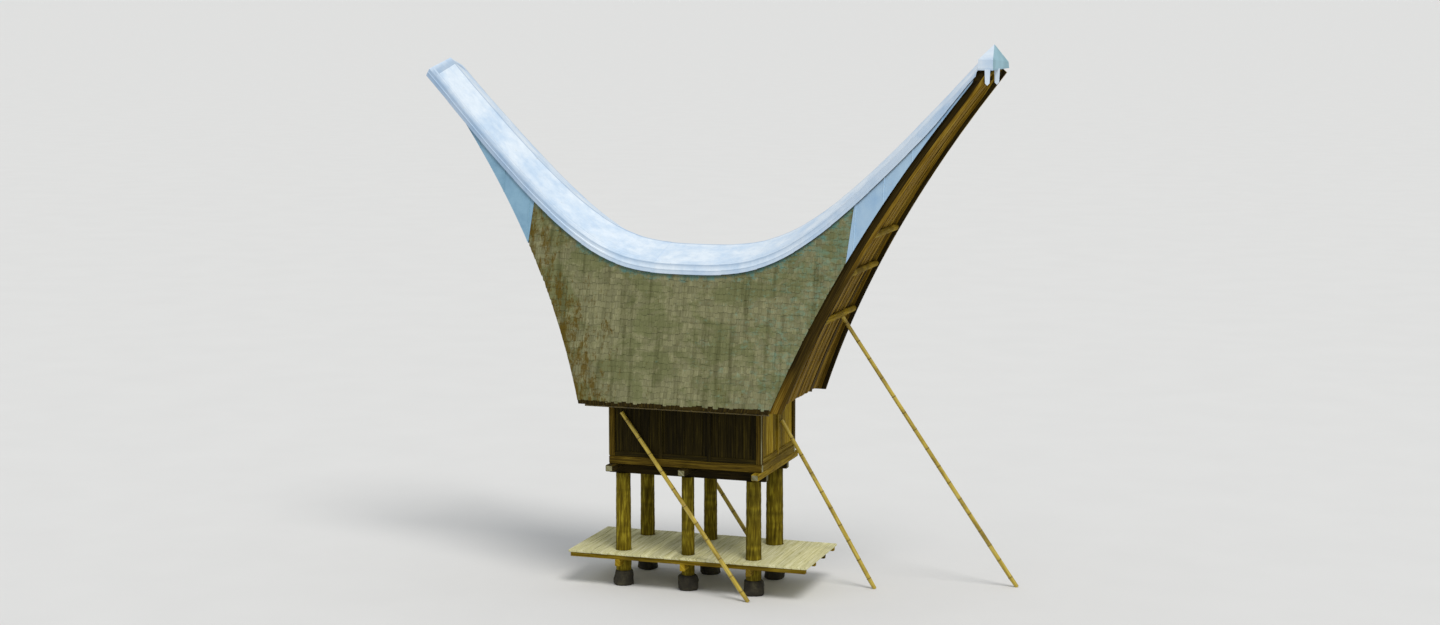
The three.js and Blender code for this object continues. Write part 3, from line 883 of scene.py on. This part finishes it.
def makeRidgeCap():
    sheets = []
    tones = capTones[::-1] + capTones[1:]
    for end, way in wayOf.items():
        tips = tipsAt(end)
        stops = [0.0]
        while stops[-1] < min(tips) - 1.3 * cap["length"]:
            stops.append(stops[-1] + cap["length"])
        lines = [[stop] * len(tips) for stop in stops] + [tips]
        for i, start in enumerate(stops):
            lap, lift = (cap["lap"], cap["lift"]) if start else (0.0, 0.0)
            begin = [way * (u - lap) for u in lines[i]]
            grid = capGrid(begin, [way * u for u in lines[i + 1]], 4, (lift, 0.0))
            sheets.append(gridSheet(f"cap_sheet_{len(sheets)}", grid, tones, cap["sheet"]))
    whole = joinAll(sheets, "ridge_cap_sheets")
    shadeFlaps(whole)
    hand(whole, "capZinc", "zinc", "ridge_cap")


# Up the horns the flaps take on the painted shade of the cladding below them: darker and bluer than the lit
# top of the cap.
def shadeFlaps(whole):
    values = whole.data.attributes["tone"].data
    spots = pointsOf(whole)
    tones = np.empty(len(spots))
    values.foreach_get("value", tones)
    across = spots[:, 0] - middleX
    fallen = (ridgeAt(across) - spots[:, 2]) / roof["capDrop"]
    onHorn = np.clip((np.abs(across) - cap["hornFrom"]) / (cap["hornTo"] - cap["hornFrom"]), 0, 1)
    onFlap = np.clip((fallen - 0.8) / 0.25, 0, 1)
    most = np.where(across < 0, cap["hornTone"]["left"], cap["hornTone"]["right"])
    values.foreach_set("value", tones + (most - tones) * onHorn * onFlap)


# The strip folded round the left end of the cap: its folded face is painted in shade, its rim left bright
def makeTipStrip():
    tips = tipsAt("left", beads=False)
    starts = [-(u - cap["stripLong"]) for u in tips]
    grid = capGrid(starts, [-u for u in tips], 3, (cap["stripLift"],) * 2, beads=False)
    strip = gridSheet("left_tip_strip", grid, np.array([cap["stripTones"]]).T, cap["stripThick"])
    hand(strip, "capZinc", "zinc")


# Boards that carry the cap's sheets
def makeCapBoards():
    left, right = (tipsAt(end, inset=cap["boardInset"], beads=False) for end in wayOf)
    outer, inner = (
        capGrid([-u for u in left], right, 60, (lift, lift), beads=False, spread=cap["spread"] - inset,
                short=cap["boardShort"])
        for lift, inset in cap["boardLayers"]
    )
    hand(makeShell("ridge_cap_boards", outer, inner), "dark", "zinc")


# The hipped hood over the right-hand tip: a block drawn up to a point, opened below, with two hanging teeth.
# A tooth is its place along, its place across and its turn. Tones are for the shell, its rim and the teeth.
hood = {
    "back": 4.82, "front": 5.06, "half": 0.64, "base": 8.83, "eaves": 9.0, "peak": (4.945, 9.229),
    "sheet": 0.006, "farDrop": 0.07, "farInset": 0.05, "tones": (0.12, 0.4, 0.1),
    "tooth": (0.09, 0.24), "toothThick": 0.008, "teeth": ((4.975, -0.654, 8), (5.04, -0.22, 20)),
}


def makeHoodShell():
    low = shifted(hood["back"], -hood["half"], hood["base"])
    shell = addBlock(low, shifted(hood["front"], hood["half"], hood["eaves"]))
    setMode("EDIT")
    bpy.ops.mesh.select_mode(type="FACE")
    bpy.ops.mesh.select_all(action="DESELECT")
    setMode("OBJECT")
    editFaces(shell, lambda face: face.normal.z > 0.9, bpy.ops.mesh.poke)
    peak = min(shell.data.vertices, key=lambda v: abs(v.co.y) + abs(v.co.z - hood["eaves"]))
    peak.co = shifted(hood["peak"][0], 0, hood["peak"][1]).tolist()
    for vertex in shell.data.vertices:
        if vertex.co.y > hood["half"] - 0.01 and vertex.co.z > hood["eaves"] - 0.01:
            vertex.co.y -= hood["farInset"]
            vertex.co.z -= hood["farDrop"]
    editFaces(shell, lambda face: face.normal.z < -0.9, bpy.ops.mesh.delete, type="FACE")
    editAll(shell)
    bpy.ops.mesh.subdivide(number_cuts=3)
    setMode("OBJECT")
    above, rim, _ = hood["tones"]
    addValues(shell, "tone", [above if z > hood["base"] + 0.01 else rim for z in pointsOf(shell)[:, 2]])
    thicken(shell, hood["sheet"])
    return shell


def makeHood():
    shell = makeHoodShell()
    pile = newPile()
    wide, long = hood["tooth"]
    half, hip, down = wide / 2, wide * 0.4, -long * 0.85
    outline = [(-half, 0.02), (half, 0.02), (hip, down), (0, -long), (-hip, down)]
    faces = [(0, 1, 2, 3, 4), (9, 8, 7, 6, 5)] + [(i, (i + 1) % 5, 5 + (i + 1) % 5, 5 + i) for i in range(5)]
    for u, y, turned in hood["teeth"]:
        cosine, sine = math.cos(math.radians(turned)), math.sin(math.radians(turned))
        corners = np.array([
            shifted(u + across * cosine - deep * sine, y + across * sine + deep * cosine, hood["base"] + up)
            for deep in (0.0, hood["toothThick"]) for across, up in outline
        ])
        addToPile(pile, corners, faces, corners[:, 1:].tolist(), hood["tones"][2])
    whole = joinAll([shell, pileToPiece(pile, "hood_teeth")], "right_hood_sheets")
    hand(whole, "capZinc", "zinc", "right_horn_hood")
    # the faces looking out past the tip get the darker, greener zinc: painted shade
    addFinish(whole, "hoodFront", lambda face: face.normal.x > 0.6 and face.center.z > hood["base"])


ridgeBeam = {"half": 0.06, "depth": 0.15, "top": 0.001, "shoulder": 0.003}


# The ridge beam follows the cap from horn to horn.
def makeRidgeBeam():
    low, high = boxOf("ridge_beam")
    half = ridgeBeam["half"]
    outer, inner = [], []
    for u in np.linspace(low[0] - middleX, high[0] - middleX, 48):
        top = float(ridgeAt(u)) - roof["capThick"] - ridgeBeam["top"]
        fall = half * roof["capDrop"] / float(capHalfAt(u)) + ridgeBeam["shoulder"]
        outer.append([(u + middleX, y, top - fall * bool(y)) for y in (-half, 0, half)])
        inner.append([(u + middleX, y, top - ridgeBeam["depth"]) for y in (-half, 0, half)])
    beam = makeShell("ridge_beam_timber", np.array(outer), np.array(inner))
    hand(beam, "dark", "dark_wood", "ridge_beam")


print("ridge cap")
makeRidgeBeam()
makeRidgeCap()
makeTipStrip()
makeCapBoards()
makeHood()


# Bargeboards and gables. A right-hand bargeboard is a wide inner board and a narrow outer one; each turns
# from golden to dark, or the other way, up the slope. Tones are (height, tone).
verge = {
    "width": 0.33, "depths": (0.0703, 0.118), "strip": {"left": 0.0, "right": 0.075}, "stripBack": 0.004,
    "joint": 0.001, "bevel": 0.005, "least": 0.004, "stripLeast": 0.002, "tip": 5.03, "top": 8.822,
    "tones": {
        "left": ((0, 0.1), (10, 0.1)),
        "near_right": ((3.2, 0.75), (3.6, 0.5), (4.0, 0.08), (9.0, 0.0)),
        "far_right": ((3.2, 0.3), (4.8, 0.45), (6.0, 0.8), (9.0, 1.0)),
        "strip": ((3.2, 0.3), (4.0, 0.12), (5.3, 0.12), (5.9, 0.7), (9.0, 0.95)),
    },
}
gable = {
    "back": 0.11, "foot": 3.3, "head": {"left": 7.56, "right": 8.64}, "half": 1.3, "clear": 0.004,
    "plank": 0.145, "thick": 0.022, "gap": 0.013, "setBack": 0.028, "lining": 0.006, "narrowest": 0.012,
    "sunlit": 0.35, "sunFrom": 5.2, "ledgeHalf": 1.29, "ledgeBoard": 0.15, "ledgeThick": 0.028,
    "ledgeGap": 0.005, "ledgeEnds": (0.002, 0.04),
    "beamRadius": 0.055, "beamForward": 0.04, "beamShort": 0.006, "beamHeights": (4.72, 5.52, 6.15),
}


def vergeLimit(end, s):
    if end == "left":
        return roof["tip"]["left"][0]
    return min(verge["tip"], settleOn(0.0, 5.3, lambda u: heightAt(u, s) < verge["top"]))


def toneByHeight(piece, table):
    levels, tones = zip(*table)
    piece.data.attributes["tone"].data.foreach_set("value", np.interp(pointsOf(piece)[:, 2], levels, tones))


def makeBargeboard(row, end):
    side, way = sideOf[row], wayOf[end]
    shares = np.linspace(0, 1, 44)
    lines = {}
    for s in shares:
        inner, seam, outer = (
            edgeOnRow(end, s, vergeLimit(end, s), roof["board"][end] - back)
            for back in (verge["width"], verge["strip"][end], 0.0)
        )
        lines[s] = (min(inner, outer - verge["least"]), seam, outer)

    def mainEnds(s):
        inner, seam, _ = lines[s]
        return way * inner, way * max(seam, inner + verge["stripLeast"])

    def stripEnds(s):
        _, seam, outer = lines[s]
        return min(seam + verge["joint"], outer - verge["stripLeast"]), outer

    outerDepth, innerDepth = verge["depths"]
    parts = [("verge_board", mainEnds, outerDepth, 4, "left" if end == "left" else f"{row}_right")]
    if end == "right":
        parts.append(("verge_strip", stripEnds, outerDepth + verge["stripBack"], 3, "strip"))
    for part, endsAt, depth, across, tones in parts:
        board = makeSlopeSheet(f"{row}_{end}_{part}", row, endsAt, (depth, innerDepth), shares, across)
        toneByHeight(board, verge["tones"][tones])
        bevel = board.modifiers.new("edge", "BEVEL")
        bevel.width = verge["bevel"]
        bevel.segments = 2
        bevel.limit_method = "ANGLE"
        applyModifiers(board)
        smooth(board, 30)
        # the far right-hand board is seen from within, where the sun falls on it
        outward, inward = ("dark", "gable") if tones == "far_right" else ("verge", "dark")
        hand(board, outward, "dark_wood")
        # faces turned to the middle take the inward finish: dark as painted shade, and on the far right-hand
        # board the golden gable finish, lighter up the slope, as painted sunlight
        addFinish(board, inward, lambda face: face.normal.y * side < -0.5)
        if endsAt is mainEnds:
            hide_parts(f"{row}_{end}_bargeboard")


def panelAt(end, z, forward=0.0):
    return vergeAt(end, z, roof["board"][end] - gable["back"] + forward)


def gableClear(end, z):
    return slopeY(wayOf[end] * panelAt(end, z), z, verge["depths"][1] + gable["clear"])


# One upright plank of the leaning gable, as long as the roof's inside lets it be
def addGablePlank(pile, dice, end, y, width, setBack, thick):
    rim = []
    for z in np.linspace(gable["foot"], gable["head"][end], 30):
        clear = gableClear(end, z)
        low, high = max(y, -clear), min(y + width - gable["gap"], clear)
        if high - low > gable["narrowest"]:
            rim.append((panelAt(end, z), low, high, z))
    if len(rim) < 2:
        return
    outer, inner = (
        np.array([
            [(wayOf[end] * (u - depth) + middleX, y, z) for y in (low, high)] for u, low, high, z in rim
        ])
        for depth in (setBack, setBack + thick)
    )
    shift = dice.uniform(0, 40)
    points = shellPoints(outer, inner)
    tone = dice.random() + gable["sunlit"] * np.clip(points[:, 2] - gable["sunFrom"], 0, 1)
    addShell(pile, outer, inner, (points[:, [2, 1]] + shift).tolist(), tone)


def makeGable(end, way):
    dice = random.Random(40 + way)
    pile = newPile()
    half, foot = gable["half"], gable["foot"]
    for y, width in boardsBetween(dice, -half, half, gable["plank"], (0.7, 1.2), 0):
        addGablePlank(pile, dice, end, y, width, dice.uniform(0, gable["setBack"]), gable["thick"])
    # a thin lining behind the planks keeps the light out
    addGablePlank(pile, dice, end, -half, 2 * half, gable["setBack"] + gable["thick"], gable["lining"])
    # the ledge back to the end wall
    atWall, atFoot = gable["ledgeEnds"]
    wallX = boxOf(f"{end}_end_wall")[1 if way > 0 else 0][0] + way * atWall
    footX = way * (panelAt(end, foot) - atFoot) + middleX
    half = gable["ledgeHalf"]
    for y, width in boardsBetween(dice, -half, half, gable["ledgeBoard"], (0.9, 1.1), 0.04):
        high = (footX, y + width - gable["ledgeGap"], foot + gable["ledgeThick"])
        addBoard(pile, dice, (wallX, y, foot), high, "X", 0.004)
    hand(pileToPiece(pile, f"{end}_gable_boards"), "gable", "golden_wood", f"{end}_gable_panel")
    radius = gable["beamRadius"]
    for i, z in enumerate(gable["beamHeights"]):
        x = way * panelAt(end, z, gable["beamForward"]) + middleX
        clear = float(gableClear(end, z)) - gable["beamShort"]
        rings = [(k / 12, radius * dice.uniform(0.9, 1.0), dice.uniform(0.2, 0.8)) for k in range(1, 12)]
        rings = [(0.0, radius, 0.4), *rings, (1.0, radius, 0.4)]
        beam = makePole(f"{end}_gable_pole_{i + 1}", (x, -clear, z), (x, clear, z), rings, 14, dice)
        hand(beam, "golden", "golden_wood")


print("verges and gables")
for end, way in wayOf.items():
    for row in sideOf:
        makeBargeboard(row, end)
    makeGable(end, way)


# Timbers: each CAD box gets a chamfered timber of its own, bowed where that is asked for
def makeTimber(node, along, finish, slot, bevel=0.01, bow=0.0):
    pile = newPile()
    addBoard(pile, random.Random(node), *boxOf(node), along, bevel, bow)
    return markEnds(hand(pileToPiece(pile, f"{node}_timber"), finish, slot, node), along)


# Pale end grain on the faces that look along a timber
def markEnds(piece, along):
    addFinish(piece, "endGrainAndHighlight", lambda face: abs(face.normal["XYZ".index(along)]) > 0.95)
    return piece


# The bearers' size is their width, height and top.
platform = {
    "bearer": (0.088, 0.118, 0.499), "bearerShort": 0.025, "joistWide": 0.08, "joistShort": 0.03,
    "joistRows": (-0.87, -0.29, 0.29, 0.87), "spacing": 1.165, "halfLength": 2.12, "halfWidth": 0.943,
    "plank": 0.142, "gaps": (0.002, 0.003), "uneven": 0.014, "sag": 0.003, "sunk": 0.004, "below": 0.001,
}
# the near-left post's tone is raised: painted sunlight on it
posts = {"taper": 0.93, "gap": 0.004, "rings": 30, "paintedSunlight": {"post_near_left": 0.45}}
postNodes = [f"post_{row}_{column}" for row in sideOf for column in columns]


def makePlatform():
    dice = random.Random(21)
    pile = newPile()
    wide, high, top = platform["bearer"]
    deckLow, deckHigh = boxOf("platform_deck")
    half, reach = wide / 2, platform["halfWidth"] - platform["bearerShort"]
    for step in (-1, 0, 1):
        x = postShift + step * platform["spacing"]
        addBoard(pile, dice, shifted(x - half, -reach, top - high), shifted(x + half, reach, top), "Y", 0.008)
    half, reach = platform["joistWide"] / 2, platform["halfLength"] - platform["joistShort"]
    for y in platform["joistRows"]:
        upper = shifted(reach, y + half, deckLow[2] - platform["below"])
        addBoard(pile, dice, shifted(-reach, y - half, top - platform["sunk"]), upper, "X")
    hand(pileToPiece(pile, "platform_timbers"), "golden", "dark_wood", "platform_frame")
    pile = newPile()
    long, deep = platform["halfLength"], platform["halfWidth"]
    before, after = platform["gaps"]
    for x, width in boardsBetween(dice, -long, long, platform["plank"], rest=0.03):
        back, front = (dice.uniform(0, platform["uneven"]) for _ in range(2))
        sag = dice.uniform(0, platform["sag"])
        upper = shifted(x + width - after, deep - back, deckHigh[2] - sag)
        addBoard(pile, dice, shifted(x + before, -deep + front, deckLow[2]), upper, "Y", 0.005)
    deck = pileToPiece(pile, "deck_planks")
    cutters = []
    for node in postNodes:
        low, high = boxOf(node)
        x, y, _ = (low + high) / 2
        cutters.append(added(
            bpy.ops.mesh.primitive_cylinder_add, vertices=28, radius=(high[0] - low[0]) / 2 + posts["gap"],
            depth=0.2, location=(x, y, deckHigh[2]),
        ))
    cutAway(deck, cutters)
    hand(deck, "bleached", "bleached_wood", "platform_deck")


# A beam along a row of posts, notched where the floor beams lie across it
def makePostBeam(row, ease=0.002):
    beam = makeTimber(f"{row}_post_beam", "X", "dark", "dark_wood", 0.012, 0.004)
    cutAway(beam, [addBlock(*boxOf(f"floor_beam_{column}"), ease) for column in columns])


def makePosts():
    for node in postNodes:
        dice = random.Random(node)
        low, high = boxOf(node)
        x, y, _ = (low + high) / 2
        foot = (high[0] - low[0]) / 2
        head = foot * posts["taper"]
        rings = [(0.0, foot * 0.97, 0.3)]
        for k in range(1, posts["rings"]):
            share = k / posts["rings"]
            tone = dice.uniform(0.15, 0.9) + posts["paintedSunlight"].get(node, 0)
            rings.append((share, (foot + (head - foot) * share) * dice.uniform(0.965, 1.0), tone))
        rings.append((1.0, head * 0.985, 0.5))
        post = makePole(f"{node}_trunk", (x, y, low[2]), (x, y, high[2]), rings, 24, dice)
        hand(post, "palm", "palm_wood", node)


# Swells and lumps are (size, how many to the metre).
stones = {
    "radius": 0.205, "bevel": 0.035, "taper": 0.13, "swells": ((0.03, 5), (0.012, 17)), "lumps": (0.008, 9),
}


def makeStones():
    for node in [n for n in frame["nodes"] if n.startswith("base_stone")]:
        dice = random.Random(node)
        low, high = boxOf(node)
        centre, size = (low + high) / 2, high - low
        stone = added(
            bpy.ops.mesh.primitive_cylinder_add, vertices=10, radius=stones["radius"], depth=size[2],
            location=centre.tolist(),
        )
        stone.name = f"{node}_rock"
        settle(stone)
        editAll(stone)
        bpy.ops.mesh.bevel(offset=stones["bevel"], segments=2, affect="EDGES")
        bpy.ops.mesh.subdivide(number_cuts=2)
        setMode("OBJECT")
        seed = Vector([dice.uniform(0, 50) for _ in range(3)])
        lump, lumpsTo = stones["lumps"]
        for vertex in stone.data.vertices:
            swell = sum(noise.noise(vertex.co * many + seed) * much for much, many in stones["swells"])
            share = (vertex.co.z - low[2]) / size[2]
            scale = (1.0 - stones["taper"] * share) * (1 + (swell - 0.02) / 0.2)
            for axis in (0, 1):
                vertex.co[axis] = centre[axis] + (vertex.co[axis] - centre[axis]) * scale
            if 0.02 < share < 0.98:
                vertex.co.z += noise.noise(vertex.co * lumpsTo + seed) * lump
            vertex.co.z = min(max(vertex.co.z, low[2]), high[2])
        stone.data.update()
        smooth(stone, 50)
        hand(stone, "stone", "stone", node)


print("platform and posts")
makePosts()
makeStones()
makePlatform()
for row in sideOf:
    makePostBeam(row)
for column in columns:
    makeTimber(f"floor_beam_{column}", "Y", "golden" if column == "right" else "dark", "dark_wood", 0.012)
makeTimber("granary_floor", "X", "wall", "wall_wood", 0.004)


# Walls of boards in a frame. Studs, the faces of boards and the halves of rails are measured from a wall's
# middle. Axes are the one along the wall and the one through it.
walls = {
    "thick": 0.03, "face": 0.017, "gaps": (0.001, 0.003), "rail": 0.085, "stud": 0.07, "sill": 0.10,
    "post": 0.10, "arris": 0.016, "arrisProud": 0.0005, "arrisEnds": (0.01, 0.25),
    "long": {
        "axes": (0, 1), "seed": 60, "inset": 0.0, "board": 0.15, "uneven": 0.003, "studs": (-0.43, 0.43),
        "railHalf": 0.032, "railTone": 0.7,
    },
    "end": {
        "axes": (1, 0), "seed": 70, "inset": 0.10, "board": 0.135, "uneven": 0.004, "studs": (0.0,),
        "studHalf": 0.046, "railHalf": 0.034,
    },
}


def makeSill():
    dice = random.Random(5)
    low, high = boxOf("sill_frame")
    width = walls["sill"]
    pile = newPile()
    for y in (low[1], high[1] - width):
        addBoard(pile, dice, (low[0], y, low[2]), (high[0], y + width, high[2]), "X", 0.01)
    markEnds(hand(pileToPiece(pile, "sill_timbers"), "brown", "dark_wood", "sill_frame"), "X")
    pile = newPile()
    for x in (low[0], high[0] - width):
        addBoard(pile, dice, (x, low[1] + width, low[2]), (x + width, high[1] - width, high[2]), "Y", 0.01)
    hand(pileToPiece(pile, "end_sill_timbers"), "golden", "dark_wood")


def makeWall(name, side, kind, finish, slot):
    own = walls[kind]
    dice = random.Random(own["seed"] + side)
    low, high = boxOf(name)
    along, through = own["axes"]
    centre, middle = ((low[axis] + high[axis]) / 2 for axis in (along, through))
    start, stop = low[along] + own["inset"], high[along] - own["inset"]
    before, after = walls["gaps"]
    pile = newPile()

    def add(reach, depths, heights, grain, **options):
        corners = np.empty((2, 3))
        corners[:, along], corners[:, through], corners[:, 2] = reach, depths, heights
        addBoard(pile, dice, *corners, grain, **options)

    for at, width in boardsBetween(dice, start, stop, own["board"]):
        face = middle + side * (walls["face"] - dice.uniform(0, own["uneven"]))
        depths = (face, face - side * walls["thick"])
        add((at + before, at + width - after), depths, (low[2], high[2]), "Z", bevel=0.004)
    half = own.get("studHalf", (high[through] - low[through]) / 2)
    for at in own["studs"]:
        reach = (centre + at - walls["stud"] / 2, centre + at + walls["stud"] / 2)
        add(reach, (middle - half, middle + half), (low[2], high[2]), "Z")
    half = own["railHalf"]
    for z in (low[2], high[2] - walls["rail"]):
        heights = (z, z + walls["rail"])
        add((start, stop), (middle - half, middle + half), heights, "XY"[along], tone=own.get("railTone"))
    hand(pileToPiece(pile, f"{name}_boards"), finish, slot, name)
    return dice, low, high


# Corner posts in brown, darker than the golden end boards as painted shade; along their outer arrises a pale
# strip is a painted highlight
def makeCorners(end, way, dice, low, high):
    post, highlight, proud = walls["post"], walls["arris"], walls["arrisProud"]
    below, above = walls["arrisEnds"]
    corners, arrises = newPile(), newPile()
    x = high[0] if way > 0 else low[0]
    for side, y, postY in ((-1, low[1], low[1]), (1, high[1], high[1] - post)):
        addBoard(corners, dice, (low[0], postY, low[2]), (high[0], postY + post, high[2]), "Z", 0.012)
        addBoard(
            arrises, dice, (x - way * highlight, y - side * highlight, low[2] + below),
            (x - way * proud, y - side * proud, high[2] - above), "Z", 0.004,
        )
    hand(pileToPiece(corners, f"{end}_corner_posts"), "brown", "golden_wood")
    hand(pileToPiece(arrises, f"{end}_corner_arrises"), "endGrainAndHighlight", "golden_wood")


roofFrame = {
    "ties": (-1.3, 0.0, 1.3), "tieHalf": (0.06, 1.15), "tieHigh": 0.1197, "above": 0.0003,
    "plate": (-1.64, 1.62), "plateWide": 0.09, "plateLow": 0.116,
}


def makeRoofFrame():
    dice = random.Random(9)
    outer, top = boxOf("roof_plate_frame")[1][1:]
    pile = newPile()
    z = boxOf("near_wall")[1][2] + roofFrame["above"]
    half, reach = roofFrame["tieHalf"]
    for x in roofFrame["ties"]:
        upper = shifted(x + half, reach, z + roofFrame["tieHigh"])
        addBoard(pile, dice, shifted(x - half, -reach, z), upper, "Y", 0.01)
    left, right = roofFrame["plate"]
    for side in (-1, 1):
        inner = shifted(left, side * (outer - roofFrame["plateWide"]), z + roofFrame["plateLow"])
        addBoard(pile, dice, inner, shifted(right, side * outer, top), "X", 0.01)
    hand(pileToPiece(pile, "roof_frame_timbers"), "dark", "dark_wood", "roof_plate_frame")


def makeCane(name, start, end, radii, spacing, sides, dice, bend=0.0):
    rings = bambooRings((Vector(end) - Vector(start)).length, *radii, spacing, dice)
    return makePole(name, start, end, rings, sides, dice, bend)


rafters = {
    "from": -1.62, "to": 1.56, "every": 0.31, "radii": (0.024, 0.02304), "nodes": 0.28, "depth": 0.098,
    "foot": 3.215, "head": 3.6,
}
lath = {"from": -1.66, "height": 3.2, "depth": 0.145, "radii": (0.017, 0.015), "nodes": 0.3, "grown": 3.2}


def makeRafters():
    dice = random.Random(33)
    made = []
    for side in (-1, 1):
        u = rafters["from"]
        while u < rafters["to"]:
            foot, head = (
                (u + middleX, side * float(slopeY(u, z, rafters["depth"])), z)
                for z in (rafters["foot"], rafters["head"])
            )
            name = f"rafter_{len(made) + 1}"
            made.append(makeCane(name, foot, head, rafters["radii"], rafters["nodes"], 10, dice))
            u += rafters["every"]
        y = side * float(slopeY(0.0, rafters["foot"], lath["depth"]))
        rings = bambooRings(lath["grown"], *lath["radii"], lath["nodes"], dice)
        start, stop = (shifted(place, y, lath["height"]) for place in (lath["from"], rafters["to"]))
        hand(makePole(f"eave_lath_{side}", start, stop, rings, 10, dice), "oldBamboo", "bamboo")
    hand(joinAll(made, "eave_rafters"), "oldBamboo", "bamboo")


# Props lean with their heads against a wall face or under a gable beam.
props = {
    "radii": (0.039, 0.033), "headRadius": 0.034, "nodes": 0.34, "bend": 0.012,
    "wallFace": 0.951, "endFace": 1.32,
}


def makeProps():
    radius = props["headRadius"]
    sideY = props["wallFace"] + radius
    beamZ = gable["beamHeights"][0]
    beamX = float(panelAt("right", beamZ, gable["beamForward"]))
    poles = {
        "prop_near_side": ((1.160, -1.115, 0), (-1.115, -sideY, 3.06)),
        "prop_far_side": ((0.860, 1.115, 0), (-1.115, sideY, 3.06)),
        "prop_end_wall": ((2.930, 0.420, 0), (props["endFace"] + 0.86 * radius, 0.16, 2.87)),
        "prop_gable": ((5.2, 1.3, 0), (beamX - 0.029, 0.40, beamZ - gable["beamRadius"] - 0.018)),
    }
    for node, (foot, head) in poles.items():
        pole = makeCane(
            f"{node}_pole", shifted(*foot), shifted(*head), props["radii"], props["nodes"], 16,
            random.Random(node), props["bend"],
        )
        for vertex in pole.data.vertices:
            vertex.co.z = max(vertex.co.z, 0.0)
        pole.data.update()
        hand(pole, "bamboo", "bamboo", node)


print("walls and props")
makeSill()
for row, side in sideOf.items():
    makeWall(f"{row}_wall", side, "long", "wall", "wall_wood")
for end, way in wayOf.items():
    makeCorners(end, way, *makeWall(f"{end}_end_wall", way, "end", "golden", "golden_wood"))
makeRoofFrame()
makeRafters()
makeProps()

# Floor, light and camera. The eye is the photographer's place, measured from the middle of the walls.
studio = {
    "floor": 4000, "floorShade": 0.74, "sun": 1.7, "sunSize": 24, "sunFrom": (0.55, -0.62, 1.25),
    "sunColor": (1.0, 0.97, 0.92), "sky": 0.6, "skyColor": (0.95, 0.98, 1.0, 1),
    "eye": (12.957, -38.189, 10.156), "aim": (0.0, 0.15, 4.66), "lens": 60,
}


def makeStudio():
    floor = added(bpy.ops.mesh.primitive_plane_add, size=studio["floor"])
    floor.name = "pale_floor"
    floor.data.materials.append(makeFloorFinish("pale_floor_finish", studio["floorShade"]))
    world = bpy.data.worlds.new("studio_sky")
    bpy.context.scene.world = world
    world.use_nodes = True
    background = world.node_tree.nodes["Background"]
    background.inputs["Color"].default_value = studio["skyColor"]
    background.inputs["Strength"].default_value = studio["sky"]
    sun = added(bpy.ops.object.light_add, type="SUN")
    sun.data.energy = studio["sun"]
    sun.data.angle = math.radians(studio["sunSize"])
    sun.data.color = studio["sunColor"]
    sun.rotation_euler = Vector(studio["sunFrom"]).to_track_quat("Z", "Y").to_euler()
    eye = Vector(studio["eye"]) + Vector((middleX, 0, 0))
    camera = added(bpy.ops.object.camera_add, location=eye)
    camera.rotation_euler = (Vector(studio["aim"]) - eye).to_track_quat("-Z", "Y").to_euler()
    camera.data.lens = studio["lens"]
    camera.data.sensor_width = 36
    camera.data.clip_end = 2 * studio["floor"]
    bpy.context.scene.camera = camera
    bpy.context.scene.view_settings.view_transform = "Standard"


print("studio")
makeStudio()
